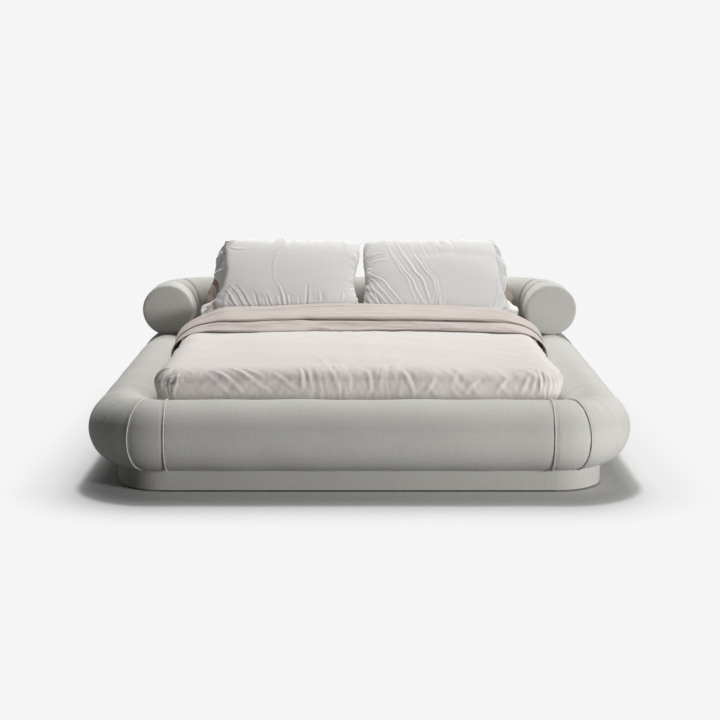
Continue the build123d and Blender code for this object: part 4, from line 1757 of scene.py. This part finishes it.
def rounded_route(points: Array, count: int) -> Array:
    """A smooth line through points, evenly stepped along its own length."""
    line = dense_line(points)
    return evenly(line, count, line)


# Pillows


@dataclass(frozen=True)
class PillowPlan:
    """One pillow in its case, laid out in its own plane: x towards its outer side, y up.

    Args:
        name: the piece's name.
        node: the node it stands for, which is also its body.
        slot: the record's material slot; not used.
        hand: -1 on the left of the bed, 1 on the right.
        inner: x of its inner side.
        outer: x where the filling ends.
        height: of the case.
        shift: how far its middle lies over the node's, up its own plane.
        flap: empty length of the case past the filling.
        taper: how far the outer side draws in from foot to top.
        bow: how far its inner side draws in.
        edge: how far past the filling the end folds, from foot to top.
        seed: of its small unevenness.
        fill: how full it is; not used.
    """

    name: str
    node: str
    slot: str
    hand: int
    inner: float
    outer: float
    height: float
    shift: float
    flap: float
    taper: float
    bow: float
    edge: tuple[float, ...]
    seed: int
    fill: float

    def rim(self, share: Array, upright: bool, far: bool) -> Array:
        """The finished outline along one side.

        Args:
            share: from -1 to 1 along the side.
            upright: whether it is the inner or outer side.
            far: whether it is the outer side or the top.

        Returns:
            Points in the pillow's plane.
        """
        half = self.height / 2
        if upright:
            centre = -0.1
            spread = np.where(share < centre, 1 + centre, 1 - centre)
            drawn = np.cos(math.pi / 2 * np.clip((share - centre) / spread, -1, 1)) ** 3
            corner = 0.016 * np.abs(share) ** 9
            if far:
                x = self.outer + self.flap - self.taper * smooth_step((share + 0.55) / 1.55) - corner
            else:
                x = self.inner + self.bow * drawn + corner
            return np.stack([x, share * half], 1)
        left = self.inner + 0.016
        right = self.outer + self.flap - 0.016 - (self.taper if far else 0)
        height = half - 0.015 * np.abs(share) ** 7
        return np.stack([(left + right) / 2 + share * (right - left) / 2, height if far else -height], 1)


@dataclass
class Bag:
    """A pillowcase laid flat, with its points numbered by column and row."""

    piece: Object
    index: dict
    columns: int
    rows: int
    share: Array


@dataclass
class Pillows:
    """Four pillows leaning on the bolster, blown up as cloth bags and then laid in place."""

    lean: float = math.radians(60.0)
    cell: float = 0.0122
    roundness: float = 0.75
    looseness: float = 1.06
    pressure: float = 5.0
    frames: int = 26
    start_gap: float = 0.004
    unevenness: float = 0.0008
    mass: float = 0.15
    stiffness: float = 40.0
    bending: float = 0.12

    def bag(self, plan: PillowPlan) -> Bag:
        """The flat bag that the pillow is blown up from, two layers joined at the rim."""
        width = (plan.outer + plan.flap - plan.inner) * self.looseness
        height = plan.height * self.looseness
        filled_to = plan.inner * self.looseness + (plan.outer - plan.inner) * self.looseness
        columns, rows = round(width / self.cell), round(height / self.cell)
        xs = plan.inner * self.looseness + width * np.linspace(0, 1, columns + 1)
        ys = height * np.linspace(-0.5, 0.5, rows + 1)
        random = np.random.default_rng(plan.seed)
        index: dict = {}
        points, faces, share, maps = [], [], [], []
        for layer in (1, -1):
            for i, x in enumerate(xs):
                for j, y in enumerate(ys):
                    rim = i in (0, columns) or j in (0, rows)
                    key = (0 if rim else layer, i, j)
                    if key not in index:
                        index[key] = len(points)
                        lift = 0.0 if rim else layer * self.start_gap + random.normal() * self.unevenness
                        points.append((x, y, lift))
                        share.append((i / columns, j / rows))
        for layer in (1, -1):
            for i in range(columns):
                for j in range(rows):
                    ring = ((i, j), (i + 1, j), (i + 1, j + 1), (i, j + 1))
                    for a, b in ring if layer > 0 else ring[::-1]:
                        rim = a in (0, columns) or b in (0, rows)
                        faces.append(index[(0 if rim else layer, a, b)])
                        maps.append((xs[a] + (2.0 if layer < 0 else 0.0), ys[b]))
        quads = np.array(faces).reshape(-1, 4)
        piece = new_piece(plan.name, np.array(points), quads, maps)
        filled = piece.vertex_groups.new(name="filled")
        for number, (x, _, _) in enumerate(points):
            filled.add([number], float(smooth_step(np.array((filled_to - x) / 0.03 + 0.5))), "REPLACE")
        return Bag(piece, index, columns, rows, np.array(share))

    def blow_up(self, piece: Object) -> None:
        """Fill the bag as cloth under pressure and keep the result.

        Args:
            piece: the flat bag.
        """
        cloth = piece.modifiers.new("Filling", "CLOTH")
        for name, value in {
            "quality": 5,
            "mass": self.mass,
            "tension_stiffness": self.stiffness,
            "compression_stiffness": self.stiffness,
            "shear_stiffness": self.stiffness / 3,
            "bending_stiffness": self.bending,
            "use_pressure": True,
            "uniform_pressure_force": self.pressure,
            "vertex_group_pressure": "filled",
        }.items():
            setattr(cloth.settings, name, value)
        cloth.settings.effector_weights.gravity = 0
        cloth.collision_settings.use_collision = False
        cloth.point_cache.frame_start = 1
        cloth.point_cache.frame_end = self.frames
        for number in range(1, self.frames + 1):
            bpy.context.scene.frame_set(number)
        settle(piece)
        bpy.context.scene.frame_set(1)

    def lens(self, bag: Bag, plan: PillowPlan) -> Array:
        """Height of an evenly crowned pillow at each point, 1 at most and 0 in the empty end."""
        filled = (plan.outer - plan.inner) / (plan.outer + plan.flap - plan.inner)
        u = np.clip(np.abs(2 * bag.share[:, 0] / filled - 1), 0, 1)
        v = np.clip(np.abs(2 * bag.share[:, 1] - 1), 0, 1)
        return np.sqrt((1 - u**4) * (1 - v**1.9))

    def fit(self, bag: Bag, plan: PillowPlan) -> Array:
        """Move the blown-up bag so that its rim lies on the plan's outline, the inside following."""
        points = np.array([v.co for v in bag.piece.data.vertices])
        shift = {}
        for upright, far in ((True, False), (True, True), (False, False), (False, True)):
            count = bag.rows if upright else bag.columns
            line = range(count + 1)
            keys = [((bag.columns if far else 0), k) if upright else (k, (bag.rows if far else 0)) for k in line]
            now = np.array([points[bag.index[(0, i, j)]] for i, j in keys])
            goal = plan.rim(np.linspace(-1, 1, count + 1), upright, far)
            shift[(upright, far)] = np.column_stack([goal - now[:, :2], -0.6 * now[:, 2]])
        a, b = bag.share[:, 0], bag.share[:, 1]
        moved = np.zeros_like(points)
        for axis in range(3):
            sides = {
                key: np.interp(b if key[0] else a, np.linspace(0, 1, len(line)), line[:, axis])
                for key, line in shift.items()
            }
            moved[:, axis] = (1 - a) * sides[(True, False)] + a * sides[(True, True)]
            moved[:, axis] += (1 - b) * sides[(False, False)] + b * sides[(False, True)]
            low, high = shift[(False, False)][:, axis], shift[(False, True)][:, axis]
            moved[:, axis] -= (1 - a) * (1 - b) * low[0] + a * (1 - b) * low[-1]
            moved[:, axis] -= (1 - a) * b * high[0] + a * b * high[-1]
        return points + moved

    def fold_flap(self, points: Array, plan: PillowPlan) -> Array:
        """Turn the empty end of the case back at the top and forward at the foot.

        Args:
            points: the pillow's points in its own plane.
            plan: the pillow's sizes.

        Returns:
            The points with the end folded.
        """
        x, y, z = points.T.copy()
        level = [-1.0, -0.85, -0.6, -0.27, 0.04, 0.35, 0.7, 1.0]
        turn = [-24, -12, 25, 76, 55, 50, 56, 62]
        share = (y - plan.shift) / (plan.height / 2)
        past = np.clip(x - plan.outer - np.interp(share, level, plan.edge), 0, None)
        bend = np.radians(np.interp(share, level, turn)) * smooth_step(past / 0.04)
        ruffle = past * (0.13 * np.sin(y * 60 + 1.3 * plan.seed) + 0.08 * np.sin(y * 131 + past * 40))
        return np.stack([x - past * (1 - np.cos(bend)), y, z - past * np.sin(bend) + ruffle], 1)

    def gathers(self, plan: PillowPlan) -> list[Fold]:
        """Small creases that run in from the seams and spread as they go, as on a stuffed case."""
        random = np.random.default_rng(plan.seed * 10)
        inner, outer = plan.inner * self.looseness, plan.outer * self.looseness
        half = plan.height * self.looseness / 2
        thin = 1.0 if plan.flap else 2.0
        found = []
        for upright, edge, inward, low, high, count, shortest, longest, height in (
            (False, -half, 1, inner, outer, 36, 0.07, 0.17, 0.0056),
            (False, half, -1, inner, outer, 38, 0.018, 0.06, 0.0013),
            (True, inner, 1, -half, half, 26, 0.025, 0.08, 0.0024),
            (True, outer, -1, -half, half, 26, 0.02, 0.07, 0.0024),
            (True, outer, 1, -half, half, 16, 0.05, 0.12, 0.0055),
        ):
            if edge == outer and inward > 0 and not plan.flap:
                continue
            for number in range(count):
                share = -1 + 2 * (number + random.uniform(0.15, 0.85)) / count
                length = random.uniform(shortest, longest) * (1.15 - 0.45 * share * share)
                lean = 0.8 * share + random.uniform(-0.15, 0.15)
                place = (low + high) / 2 + share * (high - low) / 2
                line = [(place + lean * length * p, edge + inward * (0.004 + length * p)) for p in (0, 0.5, 1)]
                if upright:
                    line = [(b, a) for a, b in line]
                width = thin * random.uniform(0.0046, 0.007)
                found.append(Fold(*line, width, height * random.uniform(0.5, 1.2) * random.choice([-1, 1])))
        return found

    def creases(self, plan: PillowPlan) -> list[Fold]:
        """Longer creases on the front cases, placed from the photo."""
        if not plan.flap:
            return []
        if plan.hand < 0:
            places = [
                (0.02, 0.19, 0.00, 0.15, 0.03, 0.11, 0.007, 0.0014),
                (0.05, 0.19, 0.04, 0.16, 0.07, 0.13, 0.007, 0.0012),
                (0.02, 0.08, 0.01, 0.02, -0.01, -0.05, 0.007, 0.0014),
                (0.3, 0.12, 0.26, 0.1, 0.2, 0.1, 0.006, 0.0018),
                (0.3, -0.2, 0.27, -0.12, 0.2, -0.05, 0.007, 0.003),
            ]
        else:
            places = [
                (-0.27, 0.17, -0.21, 0.02, -0.1, -0.14, 0.0045, 0.0026),
                (-0.24, 0.12, -0.18, 0.00, -0.08, -0.12, 0.0048, 0.0038),
                (-0.23, 0.19, -0.16, 0.04, -0.05, -0.1, 0.0045, 0.003),
                (-0.19, 0.13, -0.12, 0.00, -0.03, -0.15, 0.0048, 0.004),
                (-0.16, 0.18, -0.11, 0.05, -0.01, -0.08, 0.0045, 0.0022),
                (-0.13, 0.1, -0.06, -0.02, 0.01, -0.14, 0.0048, 0.0036),
                (-0.09, 0.06, -0.03, -0.04, 0.02, -0.15, 0.0045, 0.0026),
                (-0.11, 0.19, -0.1, 0.14, -0.06, 0.08, 0.005, 0.0016),
                (-0.03, 0.19, -0.04, 0.15, -0.01, 0.1, 0.005, 0.0012),
                (-0.39, -0.09, -0.35, -0.15, -0.31, -0.2, 0.0045, 0.0034),
                (-0.39, -0.05, -0.32, -0.12, -0.27, -0.19, 0.0045, 0.0038),
                (-0.39, -0.02, -0.3, -0.09, -0.23, -0.18, 0.0045, 0.0038),
                (-0.39, 0.01, -0.28, -0.07, -0.19, -0.18, 0.0045, 0.0034),
                (-0.39, 0.04, -0.26, -0.04, -0.15, -0.17, 0.0045, 0.0034),
                (-0.38, 0.08, -0.32, 0.09, -0.27, 0.08, 0.005, 0.0026),
                (-0.38, 0.11, -0.34, 0.13, -0.29, 0.12, 0.0045, 0.002),
                (0.3, -0.16, 0.27, -0.09, 0.25, -0.02, 0.007, 0.0026),
            ]
        return fold_rows(places)

    def build_one(self, plan: PillowPlan, cloth: Material) -> None:
        """Make one pillow."""
        low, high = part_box(plan.node)
        centre = np.array((low + high) / 2)
        along = np.array([0, math.cos(self.lean), math.sin(self.lean)])
        out = np.array([0, -math.sin(self.lean), math.cos(self.lean)])
        bag = self.bag(plan)
        self.blow_up(bag.piece)
        points = self.fit(bag, plan)
        round_share = self.roundness
        crowned = np.sign(points[:, 2]) * self.lens(bag, plan) * np.abs(points[:, 2]).max()
        points[:, 2] = (1 - round_share) * points[:, 2] + round_share * crowned
        solid = np.array([v.co for v in frame["nodes"][plan.node].data.vertices]) - centre
        thickness = float((solid @ out).max() - (solid @ out).min()) * 0.96
        points[:, 2] *= thickness / (points[:, 2].max() - points[:, 2].min())
        points[:, 1] += plan.shift
        if plan.flap:
            points = self.fold_flap(points, plan)
        bag.piece.data.vertices.foreach_set("co", points.astype(np.float32).ravel())
        soft = bag.piece.modifiers.new("Soft", "SUBSURF")
        soft.levels = soft.render_levels = 2 if plan.flap else 1
        settle(bag.piece)
        mesh = bag.piece.data
        points = np.array([v.co for v in mesh.vertices])
        normal = np.array([v.normal for v in mesh.vertices])
        flat = np.zeros((len(points), 2))
        spots = np.zeros(2 * len(mesh.loops), np.float32)
        corner = np.zeros(len(mesh.loops), np.int32)
        mesh.uv_layers[0].data.foreach_get("uv", spots)
        mesh.loops.foreach_get("vertex_index", corner)
        flat[corner] = spots.reshape(-1, 2)
        flat[:, 0] = np.where(flat[:, 0] > 1.2, flat[:, 0] - 2.0, flat[:, 0])
        points = points + normal * folded(flat, self.gathers(plan) + self.creases(plan))[:, None]
        placed = centre + np.outer(points[:, 0] * plan.hand, [1.0, 0, 0])
        placed += np.outer(points[:, 1], along) + np.outer(points[:, 2], out)
        mesh.vertices.foreach_set("co", placed.astype(np.float32).ravel())
        if plan.hand > 0:
            mesh.flip_normals()
        mesh.update()
        draw_smooth(mesh)
        hand_over(bag.piece, plan.node, [plan.node], cloth)

    def build(self, white: Material, taupe: Material) -> None:
        """Make the four pillows.

        Args:
            white: the front cases' finish.
            taupe: the rear cases' finish.
        """
        edges = {
            -1: (0.12, 0.105, 0.06, 0.005, -0.02, -0.017, -0.006, 0.0),
            1: (0.12, 0.09, 0.058, 0.035, 0.02, 0.012, 0.005, 0.0),
        }
        for hand, word in ((-1, "left"), (1, "right")):
            front = PillowPlan(
                name=f"front_pillow_case_{word}", node=f"front_pillow_{word}", slot="white_pillow_cotton",
                hand=hand, inner=-0.424 if hand < 0 else -0.402, outer=0.318, height=0.462, shift=-0.014,
                flap=0.14, taper=0.0, bow=0.032 if hand < 0 else 0.012, edge=edges[hand], seed=4 + hand, fill=0.8,
            )
            self.build_one(front, white)
            rear = PillowPlan(
                name=f"rear_pillow_case_{word}", node=f"rear_pillow_{word}", slot="taupe_pillow_cotton",
                hand=hand, inner=-0.412, outer=0.425, height=0.37, shift=-0.022,
                flap=0.0, taper=0.1, bow=0.01, edge=(), seed=14 + hand, fill=0.8,
            )
            self.build_one(rear, taupe)


# Frame pieces that keep their own meshes


@dataclass(frozen=True)
class FrameFinishes:
    """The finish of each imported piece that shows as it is."""

    finishes: Finishes

    def build(self) -> None:
        """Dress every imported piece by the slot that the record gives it."""
        own = self.finishes
        slots = {"plywood": own.plywood, "pine": own.pine, "beech_ply": own.beech, "holder_rubber": own.rubber}
        slots |= {"black_glide": own.glide, "plate_steel": own.coated_steel, "zinc_steel": own.zinc}
        made = {slot: finish.make() for slot, finish in slots.items()}
        for row in frame["record"]["subparts"]:
            name, slot = row["node"], row["material_slot"]
            if slot in made:
                dress(frame["nodes"][name], made[slot])
                log.info("%s: %s", name, slot)


# Floor, lights and camera


@dataclass(frozen=True)
class Studio:
    """A pale floor that runs into a pale backdrop, soft lamps, and the photo's camera."""

    background: str = "#F5F5F5"
    floor_albedo: str = "#E0E0E0"
    unseen_floor: str = "#8C8C8C"
    floor_half: float = 14.0
    clear_of: tuple[float, float] = (0.88, 1.05)
    fade_from: float = 0.25
    fade_to: float = 0.75
    world_strength: float = 0.07
    lens: float = 80.25
    pitch: float = 0.1668
    camera_place: tuple[float, float, float] = (0.003, -8.035, 1.7407)

    def world(self) -> None:
        """A plain backdrop for the eye and for gloss, and a weaker even light for the rest."""
        world = bpy.data.worlds.new("studio")
        bpy.context.scene.world = world
        world.use_nodes = True
        tree = world.node_tree
        tree.nodes.clear()
        seen = add_node(tree, "ShaderNodeBackground", {"Color": linear(self.background), "Strength": 1.0})
        light = add_node(tree, "ShaderNodeBackground", {"Color": (1, 1, 1, 1), "Strength": self.world_strength})
        mixed = add_node(tree, "ShaderNodeMixShader", {0: self.plain_ray(tree), 1: light, 2: seen})
        add_node(tree, "ShaderNodeOutputWorld", {"Surface": mixed})

    def plain_ray(self, tree: NodeTree) -> Node:
        """1 for a ray from the eye, from gloss or through glass.

        Args:
            tree: the tree that takes the nodes.

        Returns:
            The node that gives it.
        """
        rays = add_node(tree, "ShaderNodeLightPath").outputs
        both = {0: rays["Is Camera Ray"], 1: rays["Is Glossy Ray"]}
        both = add_node(tree, "ShaderNodeMath", both, operation="MAXIMUM")
        return add_node(tree, "ShaderNodeMath", {0: both, 1: rays["Is Transmission Ray"]}, operation="MAXIMUM")

    def floor(self) -> None:
        """A floor that takes the bed's shadow and fades into the backdrop."""
        half = self.floor_half
        mesh = bpy.data.meshes.new("floor")
        mesh.from_pydata([(-half, -half, 0), (half, -half, 0), (half, half, 0), (-half, half, 0)], [], [(0, 1, 2, 3)])
        floor = link_object("floor", mesh)
        material, tree, _ = start_material("pale_studio_floor")
        tree.nodes.clear()
        place = add_node(tree, "ShaderNodeTexCoord").outputs["Object"]
        for operation, values in (
            ("ABSOLUTE", {}), ("SUBTRACT", {1: (*self.clear_of, 0.0)}), ("MAXIMUM", {1: (0.0, 0.0, 0.0)}),
            ("LENGTH", {}),
        ):
            place = add_node(tree, "ShaderNodeVectorMath", {0: place} | values, operation=operation)
        span = {"Value": place.outputs["Value"], "From Min": self.fade_from, "From Max": self.fade_to}
        fade = add_node(tree, "ShaderNodeMapRange", span, interpolation_type="SMOOTHSTEP")
        seen = self.plain_ray(tree)
        share = add_node(tree, "ShaderNodeMath", {0: fade, 1: seen}, operation="MULTIPLY")
        ends = {"Factor": seen, 6: linear(self.unseen_floor), 7: linear(self.floor_albedo)}
        shade = add_node(tree, "ShaderNodeMix", ends, data_type="RGBA").outputs[2]
        matt = add_node(tree, "ShaderNodeBsdfDiffuse", {"Color": shade})
        plain = add_node(tree, "ShaderNodeEmission", {"Color": linear(self.background), "Strength": 1.0})
        mixed = add_node(tree, "ShaderNodeMixShader", {0: share, 1: matt, 2: plain})
        add_node(tree, "ShaderNodeOutputMaterial", {"Surface": mixed})
        mesh.materials.append(material)

    def lamp(self, name: str, place: Sequence[float], aim: Sequence[float], size: float, power: float) -> None:
        """A round soft lamp at a place, aimed at a point.

        Args:
            name: the lamp's name.
            place: where it hangs.
            aim: the point that it faces.
            size: its width.
            power: in watts.
        """
        data = bpy.data.lights.new(name, "AREA")
        data.shape = "DISK"
        data.size = size
        data.energy = power
        lamp = link_object(name, data)
        lamp.location = place
        lamp.rotation_euler = (Vector(aim) - Vector(place)).to_track_quat("-Z", "Y").to_euler()

    def build(self) -> None:
        """Set up the backdrop, the floor, the lamps and the camera."""
        self.world()
        self.floor()
        for name, place, aim, size, power in (
            ("key_overhead", (0.0, 2.2, 8.5), (0.0, 0.0, 0.2), 1.2, 400),
            ("softbox_back", (0.4, 4.4, 7.0), (0.0, 0.0, 0.3), 4.0, 305),
            ("softbox_right", (5.4, -5.0, 1.05), (0.0, -0.6, 0.35), 2.1, 345),
        ):
            self.lamp(name, place, aim, size, power)
        data = bpy.data.cameras.new("photo_camera")
        data.lens = self.lens
        data.sensor_width = 36.0
        camera = link_object("photo_camera", data)
        camera.location = self.camera_place
        camera.rotation_euler = (math.pi / 2 - self.pitch, 0, 0)
        bpy.context.scene.camera = camera
        bpy.context.scene.view_settings.view_transform = "Standard"


def main() -> None:
    """Build the bed's looks in order."""
    logging.basicConfig(level=logging.INFO, format="%(message)s")
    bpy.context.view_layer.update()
    Studio().build()
    finishes = Finishes()
    lines, mattress = BedLines.from_frame(), MattressLines.from_frame()
    upholstery = finishes.upholstery.make()
    FrameFinishes(finishes).build()
    covers = RailCovers(lines)
    covers.build(upholstery)
    covers.build_seams(finishes.piping.make())
    PlinthSkirt(lines).build(finishes.plinth.make())
    Bolster(lines).build(upholstery)
    Mattress(mattress).build(finishes.ticking.make())
    Coverlet(mattress).build(finishes.coverlet.make())
    FoldedBlanket(mattress).build(finishes.blanket.make())
    Pillows().build(finishes.white_case.make(), finishes.taupe_case.make())


if __name__ == "__main__":
    main()
